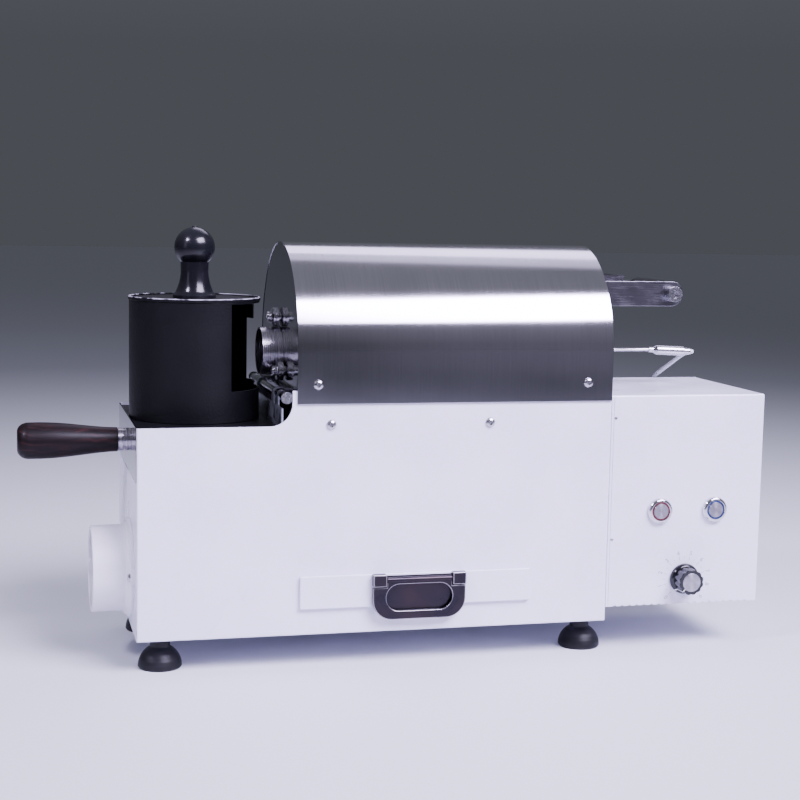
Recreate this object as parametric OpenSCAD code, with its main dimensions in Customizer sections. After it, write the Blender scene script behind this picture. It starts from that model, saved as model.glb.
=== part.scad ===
// Home coffee bean roaster: a steel body with a drum under an arched cover, a lift-off smoke hood
// over the cooling drawer, and a control box on the right. The roasting head tilts on a hinge.
// Lengths are millimetres. X runs right along the body, Y runs back, Z is up from the table.

/* [Body] */
// Length of the body, without the control box
body_length = 388; // [360:1:430]
// Depth of the body, front panel to rear panel
body_depth = 171; // [160:1:190]
// Height of the rubber feet
foot_height = 27; // [22:1:40]
// Height of the panels behind the cover's skirt, above the underside of the body
wall_height = 196; // [184:0.5:210]
// How much lower the panels are beside the hood
well_step = 28; // [20:0.5:30]
// Radius of the corner where the panels step up
well_corner = 18; // [6:1:19]
// Thickness of the painted body sheet
sheet = 1.5; // [1:0.1:2]
// Radius of a rubber foot
foot_radius = 17.5; // [13:0.5:20]
// How far the feet's centres stand in from the front and rear panels
foot_inset = 26; // [20:1:30]

/* [Cover and end plates] */
// Thickness of the stainless cover and end plates
plate = 1.2; // [0.8:0.1:1.5]
// How far the cover's skirt laps down over the panels
skirt_lap = 10.7; // [6:0.1:14]
// Height of the centre of the cover's arch above the panels' upper edge
arch_rise = 28; // [25:0.5:33]
// Width of the end plates' turned-in flanges
flange_width = 24; // [22:0.5:26]

/* [Drum] */
// Outer radius of the drum
drum_radius = 62; // [50:1:66]
// Wall of the drum
drum_wall = 1.2; // [0.8:0.1:2]
// Height of the drum's axis above the panels' upper edge
drum_rise = 24; // [21:0.5:26]
// Length of the space right of the drum, for the gears and the motor
drive_length = 38.7; // [37.7:0.1:60]
// Outer radius of the drum's neck
neck_radius = 20; // [16:0.5:21]
// Outer radius of a carrying roller
roller_radius = 8; // [7:0.5:9]
// Width of a carrying roller
roller_width = 6; // [4:0.5:6.5]
// Teeth of the gear on the drum's shaft
drum_teeth = 36; // [30:1:36]
// Teeth of the motor's pinion
pinion_teeth = 18; // [17:1:18]
// Module of both gears
gear_module = 1; // [0.9:0.05:1]

/* [Hood] */
// Outer radius of the smoke hood
hood_radius = 53; // [48:0.5:58]
// Height of the smoke hood, without its knob
hood_height = 99; // [97:0.5:102]
// Wall of the smoke hood
hood_wall = 1.5; // [1:0.1:2]
// How far the hood's window reaches to the front, round from the drum's axis
window_front_angle = 63; // [50:1:66]
// How far the hood's window reaches to the back
window_back_angle = 15; // [13:1:24]
// Height of the window's sill above the hood's lower edge
window_sill = 25; // [22:0.5:27]
// Radius of the ball knob
ball_radius = 16.5; // [13:0.5:18]

/* [Drawers] */
// Height of the cooling drawer's opening in the left end
opening_height = 43; // [38:0.5:48]
// Travel of the cooling drawer
drawer_travel = 95; // [60:1:98]
// Length of the wooden handle
handle_length = 79.5; // [60:0.5:90]
// Radius of the wooden handle at its free end
handle_radius = 14.8; // [12:0.1:16]
// Width of the chaff tray's front
tray_width = 192.5; // [180:0.5:196]
// Height of the chaff tray's front
tray_height = 26.5; // [25:0.5:28]
// Depth of the chaff tray
tray_depth = 148; // [120:1:150]
// Travel of the chaff tray
tray_travel = 130; // [80:1:140]
// Width of the folding pull
pull_width = 77; // [70:0.5:84]
// Height of the folding pull with its ears
pull_height = 37.2; // [35:0.1:38]

/* [Air] */
// Outer radius of the duct collar, which a flexible hose slips over
duct_radius = 34.8; // [33:0.1:36]
// Wall of the duct collar
duct_wall = 3.8; // [2.5:0.1:5]
// How far the duct collar stands out from the body
duct_reach = 31.7; // [25:0.1:40]
// Height of the duct collar's axis above the underside of the body
duct_height = 46.7; // [46:0.1:50]
// Distance of the duct collar's axis behind the front panel
duct_place = 61.75; // [58:0.25:66]
// Radius of the fan's rotor
rotor_radius = 34; // [28:0.5:36]
// Number of blades on the fan's rotor
rotor_blades = 18; // [10:1:24]

/* [Control box] */
// Width of the control box
box_width = 138; // [126:0.5:155]
// Depth of the control box
box_depth = 138.9; // [125:0.1:145]
// Height of the control box
box_height = 177.9; // [160:0.1:195]
// Height of the control box's underside above the underside of the body
box_lift = 11.6; // [2:0.1:13]
// Radius of a push button's chrome head
button_radius = 11; // [10:0.25:12]
// Travel of a push button
button_travel = 1.5; // [1:0.1:2]
// Height of the push buttons above the control box's underside
button_level = 80.4; // [70:0.1:110]
// Distance between the push buttons
button_pitch = 49.6; // [40:0.1:60]
// Radius of the dial knob's skirt
knob_radius = 13; // [12:0.25:15]
// Height of the dial knob
knob_height = 16.5; // [12:0.5:18]
// Height of the dial knob's axis above the control box's underside
knob_level = 21.6; // [19:0.1:30]

/* [Lever and probe] */
// Width of the lever bar
lever_width = 21; // [18:0.5:22]
// Thickness of the lever bar
lever_thick = 3; // [2:0.5:4]
// Distance of the grip's axis from the right end plate
lever_reach = 68; // [58:0.5:76]
// Length of the black grip
grip_length = 73; // [60:1:76]
// Radius of the black grip
grip_radius = 11; // [9:0.5:12]
// Radius of the temperature probe's rod
probe_radius = 1.4; // [1:0.1:1.6]

/* [Hidden] */
$fn = 64;

// Clearances
panel_gap = 0.3;     // between a sliding piece and the panel beside it
joint_gap = 0.5;     // between faces of pieces that move apart
pin_gap = 0.05;      // between a pin or shaft and its bore
screw_gap = 0.2;     // between a screw's shank and its hole
screw_head = 2.3;    // height of a pan head

// Levels above the table
base_z = foot_height;
wall_z = base_z + wall_height;
well_z = wall_z - well_step;
skirt_z = wall_z - skirt_lap;
arch_z = wall_z + arch_rise;
drum_z = wall_z + drum_rise;
opening_z = well_z - opening_height;
duct_z = base_z + duct_height;

// Inside faces of the body and the middle of its depth
in_front = sheet;
in_back = body_depth - sheet;
mid_y = body_depth / 2;

// Deck that the hood stands on, just below the panels' edge
deck_thick = 1.5;
deck_top = well_z - 2;
deck_z = deck_top - deck_thick;

// From the left: the hood, the partition, the hinge of the roasting head, and the cover
hinge_pin_radius = 2.5;
knuckle_radius = 4;
hood_x = hood_radius + 1.4;
partition_x = hood_x + hood_radius + 5.1;
hinge_x = partition_x + knuckle_radius + 0.5;
hinge_z = wall_z - 6;
cover_start = hinge_x + 7.5;
well_length = cover_start - 3.5;
knuckle_length = 10;
knuckle_gap = 0.3;
hinge_first = 8;
hinge_head = 3.2;

// Cover and end plates
cover_end = body_length - 0.6;
cover_radius = mid_y + panel_gap + plate;
plate_set_in = 0.5;
left_plate_x = cover_start + plate_set_in;
right_plate_x = cover_end - plate_set_in - plate;
plate_low_z = wall_z - 14;
plate_shoulder_z = wall_z + 1;
bulkhead_x = right_plate_x - drive_length - plate;
cover_screw_z = wall_z + 4.8;
cover_screw_left = cover_start + 16.5;
cover_screw_right = cover_end - 21.5;

// Drum, from its neck to its shaft
drum_x = left_plate_x + plate + 4.8;
drum_end = bulkhead_x - 1.8;
neck_x = hood_x + hood_radius + 0.4;
shaft_radius = 6;
shaft_bore = 3;
roller_gap = 0.3;
roller_circle = neck_radius + roller_radius + roller_gap;
roller_angles = [90, 210, 330];
roller_bolt_radius = 2.5;
washer_thick = 1;
roller_x = left_plate_x - washer_thick - roller_width;
flight_height = 11;
flight_count = 3;

// Gears between the motor and the drum's shaft
gear_width = 8;
gear_x = bulkhead_x + plate + 4;
gear_distance = gear_module * (drum_teeth + pinion_teeth) / 2 + 0.1;
motor_x = gear_x + gear_width + 3.5;
motor_depth = 20;
motor_radius = 25;
motor_y = mid_y + gear_distance + 5.5;
motor_z = drum_z - 4;
motor_post_reach = 30;

// Chute from the hopper through the bulkhead to the open end of the drum
chute_half = 23.5;
chute_y0 = mid_y - chute_half;
chute_y1 = mid_y + chute_half;
chute_wall = 1;
chute_height = 22;
chute_low_z = drum_z + 22;
chute_rise = 17.3;

// Hood
hood_z = deck_top + 0.3;
hood_top = hood_z + hood_height;
hood_lid = 3;

// Cooling drawer
drawer_z = opening_z + 3;
drawer_wall = 1;
drawer_height = deck_z - 4.5 - drawer_z;
drawer_side = 9;
drawer_x1 = partition_x - 6.5;
drawer_y0 = drawer_side;
drawer_y1 = body_depth - drawer_side;
drawer_plate_x = -0.3;
handle_z = (opening_z + well_z) / 2 + 1.5;
ferrule_length = 8;
ferrule_radius = 9.4;

// Chaff tray
tray_x0 = cover_start + 3.3;
tray_z = base_z + 21.5;
tray_front_thick = 3;
tray_slot_margin = 4;
tray_box_z = tray_z + tray_slot_margin + 1;
tray_box_height = tray_height - 2 * tray_slot_margin - 1.5;
pull_x = tray_x0 + tray_width / 2 + 0.7;
pull_top = tray_z + tray_height + 0.6;
pull_ear = 11;
pull_ear_height = 10;
pull_ear_depth = 6.4;
pull_ear_gap = 1;
pull_thick = 3;
pull_axis_y = -panel_gap - tray_front_thick - 3.4;
pull_axis_z = pull_top - 5;
pull_pin_radius = 1.4;

// Duct collar, and the fan below the cooling drawer
duct_bore = duct_radius - duct_wall;
scroll_x = partition_x - 48.5;
scroll_y = mid_y + 11.5;
scroll_radius = 46;
scroll_z = base_z + 16;
scroll_height = 61;
scroll_wall = 2;
fan_shaft_radius = 2;

// Control box
box_x = body_length + panel_gap;
box_front = 0.8;
box_back = box_front + box_depth;
box_right = box_x + box_width;
box_ground = base_z + box_lift;
box_top = box_ground + box_height;
box_strip = 2.3;
button_mid = box_x + box_width / 2 + 1.5;
button_power_x = button_mid - button_pitch / 2;
button_cooling_x = button_mid + button_pitch / 2;
button_z = box_ground + button_level;
button_barrel = button_radius - 1.6;
button_proud = 4;
cap_radius = button_radius - 4.6;
ring_radius = button_radius - 3.1;
knob_x = box_x + box_width / 2 + 1;
knob_z = box_ground + knob_level;
pot_shaft_radius = 3;
wire_hole_radius = 9;
wire_hole_z = box_top - 67.9;

// Lever
lever_y = mid_y - 45.5;
lever_z = arch_z + 47.5;
lever_foot_x = right_plate_x + plate;
lever_x = lever_foot_x + lever_reach;
grip_bolt_radius = 4;

// Probe and its lead
probe_tip = cover_end - 97;
sleeve_x = lever_x;
sleeve_droop = 2.5;
sleeve_length = 39.6;
lead_radius = 1.85;
gland_x = knob_x + 3.7;
gland_z = box_top - 59.5;

// Overall box, which sets the origin: the middle of the underside
x_min = -ferrule_length - handle_length + drawer_plate_x;
x_max = box_right;
y_min = box_front - knob_height;
y_max = body_depth + panel_gap + plate + screw_head;
origin = [(x_min + x_max) / 2, (y_min + y_max) / 2, 0];

// ---------- shapes that repeat ----------

// A block between two corners
module slab(low, high) {
    translate(low) cube(high - low);
}

// A plate across the body: its outline is drawn in Y and Z, from x onward
module across(x, thick) {
    translate([x, 0, 0]) rotate([90, 0, 90]) linear_extrude(thick) children();
}

// A plate along the body: its outline is drawn in X and Z, from y onward
module along(y, thick) {
    translate([0, y + thick, 0]) rotate([90, 0, 0]) linear_extrude(thick) children();
}

// Round bars along the three axes
module bar_x(x0, x1, y, z, r) {
    translate([x0, y, z]) rotate([0, 90, 0]) cylinder(h = x1 - x0, r = r);
}
module bar_y(y0, y1, x, z, r) {
    translate([x, y0, z]) rotate([-90, 0, 0]) cylinder(h = y1 - y0, r = r);
}
module bar_z(z0, z1, x, y, r) {
    translate([x, y, z0]) cylinder(h = z1 - z0, r = r);
}

// A turned piece whose axis runs along X from the given point; its outline holds [radius, x]
module turned_x(x, y, z) {
    translate([x, y, z]) rotate([0, 90, 0]) rotate_extrude() children();
}

// A round-ended slot in two dimensions
module slot_2d(length, width) {
    square([length - width, width], center = true);
    for (side = [-1, 1]) translate([side * (length - width) / 2, 0]) circle(width / 2);
}

// A rectangle with rounded corners, from the origin
module rounded_2d(width, height, r) {
    translate([r, 0]) square([width - 2 * r, height]);
    translate([0, r]) square([width, height - 2 * r]);
    for (x = [r, width - r], y = [r, height - r]) translate([x, y]) circle(r);
}

// A pan-head screw that points along +Z, its head below the origin
module pan_screw(shank_radius, shank, head_radius = 4, head_height = screw_head) {
    drive = head_radius * 0.28;
    difference() {
        rotate_extrude() polygon([
            [0, -head_height], [head_radius * 0.5, -head_height], [head_radius * 0.8, -head_height * 0.75],
            [head_radius * 0.96, -head_height * 0.4], [head_radius, 0], [0, 0]
        ]);
        for (turn = [0, 90]) rotate(turn)
            translate([-head_radius * 0.5, -drive / 2, -head_height - 1])
                cube([head_radius, drive, 1 + head_height * 0.55]);
    }
    cylinder(h = shank, r = shank_radius);
}

// Screws that point back, forward and left
module screw_back(x, y, z, r, shank) { translate([x, y, z]) rotate([-90, 0, 0]) pan_screw(r, shank); }
module screw_forward(x, y, z, r, shank) { translate([x, y, z]) rotate([90, 0, 0]) pan_screw(r, shank); }
module screw_left(x, y, z, r, shank) { translate([x, y, z]) rotate([0, -90, 0]) pan_screw(r, shank); }

// Involute spur gear outline
function inv(a) = tan(a) * 180 / PI - a;
function flank_angle(r, rb, teeth, backlash) =
    90 / teeth - backlash + inv(20) - (r > rb ? inv(acos(rb / r)) : 0);
module gear_2d(teeth, mod, backlash = 0.25) {
    pitch = mod * teeth / 2;
    base = pitch * cos(20);
    root = pitch - 1.25 * mod;
    tip = pitch + 0.9 * mod;
    radii = [root, base, pitch, tip];
    slack = backlash / pitch * 180 / PI / 2;
    polygon([for (t = [0 : teeth - 1]) each concat(
        [for (r = radii) let (a = t * 360 / teeth - flank_angle(r, base, teeth, slack)) r * [cos(a), sin(a)]],
        [for (i = [3 : -1 : 0]) let (r = radii[i], a = t * 360 / teeth + flank_angle(r, base, teeth, slack))
            r * [cos(a), sin(a)]]
    )]);
}

// ---------- body ----------

// Outline of the front and rear panels in X and Z, stepping up behind the hood
module panel_outline() {
    translate([0, base_z]) square([body_length, wall_height - well_step]);
    translate([well_length, base_z]) square([body_length - well_length, wall_height]);
    translate([well_length - well_corner, well_z]) difference() {
        square(well_corner);
        translate([0, well_corner]) circle(well_corner);
    }
}

panel_screw_places = [cover_start + 27.6, cover_end - 104.3];
panel_screw_z = skirt_z - 16.3;
panel_screw_radius = 2;

module front_panel() {
    color("white") along(0, sheet) difference() {
        panel_outline();
        translate([tray_x0 + tray_slot_margin, tray_z + tray_slot_margin])
            square([tray_width - 2 * tray_slot_margin, tray_height - 2 * tray_slot_margin]);
        for (x = panel_screw_places) translate([x, panel_screw_z]) circle(panel_screw_radius + screw_gap);
    }
}

// Louvres let cooling air into the space behind the heat liner
louvre_count = 9;
louvre_pitch = 12;
module rear_panel() {
    color("white") along(in_back, sheet) difference() {
        panel_outline();
        for (i = [0 : louvre_count - 1], row = [0, 1])
            translate([body_length - 60 - i * louvre_pitch, base_z + 40 + row * 55])
                rotate(90) slot_2d(40, 4);
        for (x = panel_screw_places) translate([x, panel_screw_z]) circle(panel_screw_radius + screw_gap);
    }
}

// Places of the four feet
foot_left = 20.5;
foot_right = 13;
function foot_places() = [for (x = [foot_left, body_length - foot_right],
    y = [foot_inset, body_depth - foot_inset]) [x, y]];
foot_screw_radius = 2.5;
base_flange = 16;
right_wall_top = plate_low_z - 7;

module base_tray() {
    color("white") difference() {
        union() {
            slab([sheet, in_front, base_z], [body_length, in_back, base_z + sheet]);
            // right end wall, folded up from the base
            slab([body_length - sheet, in_front, base_z], [body_length, in_back, right_wall_top]);
            slab([sheet, in_front, base_z], [body_length - sheet, 2 * sheet, base_z + base_flange]);
            slab([sheet, in_back - sheet, base_z], [body_length - sheet, in_back, base_z + base_flange]);
        }
        for (p = foot_places())
            bar_z(base_z - 1, base_z + sheet + 1, p[0], p[1], foot_screw_radius + screw_gap);
        // wires to the control box
        bar_x(body_length - sheet - 1, body_length + 1, mid_y, wire_hole_z, wire_hole_radius);
    }
}

module left_end_panel() {
    color("white") difference() {
        union() {
            slab([0, in_front, base_z], [sheet, in_back, opening_z - sheet]);
            // folded top edge
            slab([sheet, in_front, opening_z - 9], [2 * sheet, in_back, opening_z - sheet]);
            bar_y(in_front, in_back, sheet, opening_z - sheet, sheet);
        }
        bar_x(-1, sheet + 1, duct_place, duct_z, duct_bore);
        for (side = [-1, 1])
            bar_x(-1, sheet + 1, duct_place + side * collar_screw_circle, duct_z,
                collar_screw_radius + screw_gap);
    }
}

// Fixed deck with the hole that the beans fall through, and the ring that centres the hood
deck_ring = hood_radius - hood_wall - 0.6;
deck_ring_height = 7;
module well_deck() {
    color("black") difference() {
        union() {
            slab([drawer_plate_x + plate + joint_gap, in_front, deck_z], [partition_x, in_back, deck_top]);
            bar_z(deck_z, deck_top + deck_ring_height, hood_x, mid_y, deck_ring);
        }
        bar_z(deck_z - 1, deck_top + deck_ring_height + 1, hood_x, mid_y, deck_ring - sheet);
    }
}

// Knuckle spans along Y: fixed ones on the partition, moving ones on the left end plate
function knuckle_starts(first) = [for (i = [0, 1]) let (a = hinge_first + (first + 2 * i) * (knuckle_length
    + knuckle_gap)) each [a, body_depth - a - knuckle_length]];

module knuckles(first) {
    for (y = knuckle_starts(first)) bar_y(y, y + knuckle_length, hinge_x, hinge_z, knuckle_radius);
}

module partition() {
    color("lightgrey") difference() {
        union() {
            // its lower corners clear the base's flanges
            slab([partition_x, 2 * sheet + joint_gap, base_z + sheet],
                [partition_x + plate, in_back - sheet - joint_gap, base_z + base_flange + joint_gap]);
            slab([partition_x, in_front, base_z + base_flange + joint_gap],
                [partition_x + plate, in_back, hinge_z - 8]);
            for (y = knuckle_starts(1)) {
                slab([partition_x, y, hinge_z - 8], [partition_x + plate, y + knuckle_length, hinge_z]);
                slab([partition_x, y, hinge_z - 1], [hinge_x, y + knuckle_length, hinge_z]);
            }
            knuckles(1);
        }
        bar_y(0, body_depth, hinge_x, hinge_z, hinge_pin_radius + pin_gap);
    }
}

module hinge_pin() {
    color("silver") {
        bar_y(hinge_head, body_depth - hinge_head, hinge_x, hinge_z, hinge_pin_radius);
        bar_y(hinge_head, hinge_head + 3.5, hinge_x, hinge_z, 4.7);
        bar_y(body_depth - hinge_head - 2, body_depth - hinge_head, hinge_x, hinge_z, 4.7);
    }
}

// Bright liner below the drum: two bent walls that leave a slot above the chaff tray
liner_x0 = drum_x - 3;
liner_x1 = drum_end + 5.6;
liner_thick = 1;
liner_side = 12;
liner_bend_z = drum_z - 78;
liner_slot = 28;
liner_low_z = drum_z - 135;
liner_top_z = plate_low_z - 4;
tube_y = mid_y - 41.5;
tube_z = drum_z - 76;
tube_radius = 4;
holder_radius = 6.5;

// One liner wall in Y and Z
module liner_wall() {
    polygon([
        [liner_side, liner_top_z], [liner_side, liner_bend_z], [mid_y - liner_slot, liner_low_z],
        [mid_y - liner_slot, liner_low_z - 12], [mid_y - liner_slot + liner_thick, liner_low_z - 12],
        [mid_y - liner_slot + liner_thick, liner_low_z + 0.4], [liner_side + liner_thick, liner_bend_z + 0.4],
        [liner_side + liner_thick, liner_top_z]
    ]);
}

// An end cheek in Y and Z, with the heating tubes' holes
module liner_cheek() {
    difference() {
        polygon([
            [liner_side, liner_top_z], [liner_side, liner_bend_z], [mid_y - liner_slot, liner_low_z],
            [mid_y + liner_slot, liner_low_z], [body_depth - liner_side, liner_bend_z],
            [body_depth - liner_side, liner_top_z]
        ]);
        for (y = [tube_y, body_depth - tube_y]) translate([y, tube_z]) circle(holder_radius + pin_gap);
    }
}

module heat_liner() {
    color("silver") {
        for (side = [0, 1]) translate([0, side * body_depth, 0]) mirror([0, side, 0])
            across(liner_x0, liner_x1 - liner_x0) liner_wall();
        for (x = [liner_x0 - plate, liner_x1]) across(x, plate) liner_cheek();
        // brackets that the panels' screws hold
        for (x = panel_screw_places, side = [0, 1])
            translate([0, side * body_depth, 0]) mirror([0, side, 0]) difference() {
                slab([x - 9, in_front, panel_screw_z - 8], [x + 9, liner_side, panel_screw_z + 8]);
                slab([x - 10, 2 * sheet, panel_screw_z - 6.8], [x + 10, liner_side - 1, panel_screw_z + 9]);
                bar_y(0, 2 * sheet + 1, x, panel_screw_z, panel_screw_radius + screw_gap);
            }
    }
}

module heating_tubes() {
    for (y = [tube_y, body_depth - tube_y]) {
        color("dimgrey") bar_x(liner_x0 - plate - 6, liner_x1 + plate + 6, y, tube_z, tube_radius);
        // ceramic holders in the liner's cheeks
        color("ivory") for (end = [0, 1])
            translate([end == 0 ? liner_x0 - plate : liner_x1, 0, 0]) difference() {
                union() {
                    bar_x(0, plate, y, tube_z, holder_radius);
                    bar_x(end == 0 ? -4 : plate, end == 0 ? 0 : plate + 4, y, tube_z, holder_radius + 2);
                }
                bar_x(-10, 10, y, tube_z, tube_radius + pin_gap);
            }
    }
}

// Angle runners: a pair for the chaff tray and a pair for the cooling drawer
tray_runner_x = tray_x0 + tray_slot_margin - 0.5;
module runners() {
    color("lightgrey") for (side = [0, 1])
        translate([side * (2 * tray_x0 + tray_width), 0, 0]) mirror([side, 0, 0]) {
            slab([tray_runner_x, 2 * sheet + joint_gap, base_z + sheet],
                [tray_runner_x + 1.2, tray_depth, tray_box_z + 8]);
            slab([tray_runner_x, in_front, tray_box_z - 1.5],
                [tray_runner_x + 6, tray_depth, tray_box_z - panel_gap]);
        }
    color("lightgrey") for (side = [0, 1])
        translate([0, side * body_depth, 0]) mirror([0, side, 0]) {
            slab([4, in_front, drawer_z - 15], [partition_x, in_front + 1.2, drawer_z - panel_gap]);
            slab([4, in_front, drawer_z - 1.5], [partition_x, in_front + 13, drawer_z - panel_gap]);
        }
}

// Screws of the panels, the duct collar, the control box and the feet
module body_screws() {
    color("silver") {
        for (x = panel_screw_places) {
            screw_back(x, 0, panel_screw_z, panel_screw_radius, 6);
            screw_forward(x, body_depth, panel_screw_z, panel_screw_radius, 6);
        }
        for (side = [-1, 1])
            translate([-3, duct_place + side * collar_screw_circle, duct_z]) rotate([0, 90, 0])
                pan_screw(collar_screw_radius, 9, 3.4, 2.4);
        for (z = box_screw_places) {
            translate([box_screw_x, box_front, z]) rotate([-90, 0, 0]) pan_screw(1, 6, 1.4, 0.5);
            translate([box_screw_x, box_back, z]) rotate([90, 0, 0]) pan_screw(1, 6, 1.4, 0.5);
        }
        for (p = foot_places()) {
            bar_z(foot_recess - 1, base_z + sheet + 6, p[0], p[1], foot_screw_radius);
            bar_z(foot_recess - 4, foot_recess, p[0], p[1], 4.5);
            bar_z(base_z + sheet, base_z + sheet + 3.5, p[0], p[1], 4.5);
        }
    }
}

// Domed rubber feet, hollow below for their screws
foot_recess = foot_height * 0.35;
module rubber_feet() {
    low = foot_height * 0.055;
    neck = foot_radius * 0.46;
    color("black") for (p = foot_places()) translate([p[0], p[1], 0]) difference() {
        rotate_extrude() polygon(concat(
            [[0, 0], [foot_radius - 1, 0]],
            [for (a = [0 : 10 : 60]) [foot_radius * cos(a), low + foot_height * 0.65 * sin(a)]],
            [[neck, low + foot_height * 0.577], [neck, foot_height], [0, foot_height]]
        ));
        translate([0, 0, -1]) cylinder(h = foot_recess + 1, r = 5.5);
        cylinder(h = foot_height + 1, r = foot_screw_radius + screw_gap);
    }
}

// ---------- duct and fan ----------

collar_flange = duct_radius + 5.5;
collar_screw_circle = duct_radius + 3.2;
collar_screw_radius = 1.7;

module duct_collar() {
    color("white") difference() {
        union() {
            turned_x(0, duct_place, duct_z) polygon([
                [duct_bore, 0], [collar_flange, 0], [collar_flange, -2.4], [collar_flange - 1.2, -3],
                [collar_flange - 2.2, -5], [duct_radius + 1.6, -5.4], [duct_radius + 0.4, -7.2],
                [duct_radius, -10], [duct_radius, -duct_reach + 1], [duct_radius - 1, -duct_reach],
                [duct_bore + 1, -duct_reach], [duct_bore, -duct_reach + 1]
            ]);
            for (side = [-1, 1]) bar_x(-3, 0, duct_place + side * collar_screw_circle, duct_z, 6.5);
            // guard rib across the mouth
            slab([-duct_reach + 1, duct_place - duct_bore - 1, duct_z - 1.2],
                [-duct_reach + 6, duct_place + duct_bore + 1, duct_z + 1.2]);
        }
        for (side = [-1, 1])
            bar_x(-10, 1, duct_place + side * collar_screw_circle, duct_z, collar_screw_radius + screw_gap);
        // flats that the screw heads sit on
        for (side = [-1, 1])
            bar_x(-10, -3, duct_place + side * collar_screw_circle, duct_z, 3.9);
    }
}

outlet_half = duct_bore - 3;

module blower_housing() {
    top = scroll_z + scroll_height;
    color("darkgrey") difference() {
        union() {
            bar_z(scroll_z, top, scroll_x, scroll_y, scroll_radius);
            slab([sheet, duct_place - outlet_half, scroll_z], [scroll_x, duct_place + outlet_half, top]);
            for (a = [45, 165, 285])
                bar_z(base_z + sheet, scroll_z, scroll_x + 38 * cos(a), scroll_y + 38 * sin(a), 4);
        }
        bar_z(scroll_z + scroll_wall, top - scroll_wall, scroll_x, scroll_y, scroll_radius - scroll_wall);
        slab([0, duct_place - outlet_half + scroll_wall, scroll_z + scroll_wall],
            [scroll_x, duct_place + outlet_half - scroll_wall, top - scroll_wall]);
        bar_z(top - scroll_wall - 1, top + 1, scroll_x, scroll_y, rotor_radius - 7);
        bar_z(scroll_z - 1, scroll_z + scroll_wall + 1, scroll_x, scroll_y, 5);
        // screw ends behind the collar
        for (side = [-1, 1])
            bar_x(0, 9, duct_place + side * collar_screw_circle, duct_z, collar_screw_radius + 1);
    }
}

module fan_motor() {
    color("dimgrey") difference() {
        union() {
            bar_z(base_z + sheet, scroll_z, scroll_x, scroll_y, 21);
            bar_z(scroll_z, scroll_z + scroll_wall, scroll_x, scroll_y, 4.5);
        }
        bar_z(base_z + 6, scroll_z + scroll_wall + 1, scroll_x, scroll_y, fan_shaft_radius + pin_gap);
    }
}

rotor_z = scroll_z + scroll_wall + 2;
rotor_height = 50;
module fan_rotor() {
    color("black") {
        bar_z(base_z + 6.5, rotor_z, scroll_x, scroll_y, fan_shaft_radius);
        bar_z(rotor_z, rotor_z + 1.5, scroll_x, scroll_y, rotor_radius);
        bar_z(rotor_z + 1.5, rotor_z + 12, scroll_x, scroll_y, 7);
        difference() {
            bar_z(rotor_z + rotor_height - 2, rotor_z + rotor_height, scroll_x, scroll_y, rotor_radius);
            bar_z(rotor_z + rotor_height - 3, rotor_z + rotor_height + 1, scroll_x, scroll_y,
                rotor_radius - 7);
        }
        for (i = [0 : rotor_blades - 1])
            translate([scroll_x, scroll_y, rotor_z + 1.5]) rotate(i * 360 / rotor_blades)
                translate([rotor_radius - 4, 0, 0]) rotate(30) translate([-3, -0.5, 0])
                    cube([6, 1, rotor_height - 3.5]);
    }
}

// ---------- control box ----------

box_screw_places = [box_top - 120.8, box_top - 18.9];
box_screw_x = box_x + 3.8;
box_lip = 14;
notch_pitch = 6.6;
inlet_x = box_right - 38;
inlet_z = box_ground + 34;
gland_hole = 4.1;

// Left wall, bottom and back of the control box, with the strip that shows beside its front
module control_chassis() {
    color("white") difference() {
        union() {
            slab([box_x, box_front + sheet, box_ground], [box_x + sheet, box_back, box_top - sheet]);
            slab([box_x, box_front + sheet, box_ground], [box_right - sheet, box_back, box_ground + sheet]);
            slab([box_x, box_front, box_ground],
                [box_x + box_strip - panel_gap, box_front + sheet, box_top - sheet]);
            slab([box_x, box_front + sheet, box_ground],
                [box_x + box_lip, box_front + 2 * sheet, box_top - sheet]);
            slab([box_x, box_back - sheet, box_ground], [box_right, box_back, box_top]);
        }
        for (z = box_screw_places) {
            bar_y(box_front, box_front + 3 * sheet, box_screw_x, z, 1 + screw_gap);
            bar_y(box_back - 2 * sheet, box_back + 1, box_screw_x, z, 1 + screw_gap);
        }
        bar_x(box_x - 1, box_x + sheet + 1, mid_y, wire_hole_z, wire_hole_radius);
        slab([inlet_x - 13.5, box_back - sheet - 1, inlet_z - 10],
            [inlet_x + 13.5, box_back + 1, inlet_z + 10]);
        bar_y(box_back - sheet - 1, box_back + 1, gland_x, gland_z, gland_hole);
    }
}

// Front, top and right side of the control box
module control_cover() {
    color("white") difference() {
        union() {
            slab([box_x + box_strip, box_front, box_ground], [box_right, box_front + sheet, box_top]);
            slab([box_right - sheet, box_front, box_ground], [box_right, box_back - sheet, box_top]);
            slab([box_x, box_front, box_top - sheet], [box_right, box_back - sheet, box_top]);
        }
        for (z = box_screw_places) bar_y(0, box_front + sheet + 1, box_screw_x, z, 1 + screw_gap);
        for (x = [button_power_x, button_cooling_x])
            bar_y(0, box_front + sheet + 1, x, button_z, button_barrel + screw_gap);
        bar_y(0, box_front + sheet + 1, knob_x, knob_z, pot_bush_radius + screw_gap);
        // row of small vent notches along the lower front edge
        for (x = [box_x + box_strip + 6 : notch_pitch : box_right - 6])
            bar_y(0, box_front + sheet + 1, x, box_ground, 1.4);
    }
}

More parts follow.
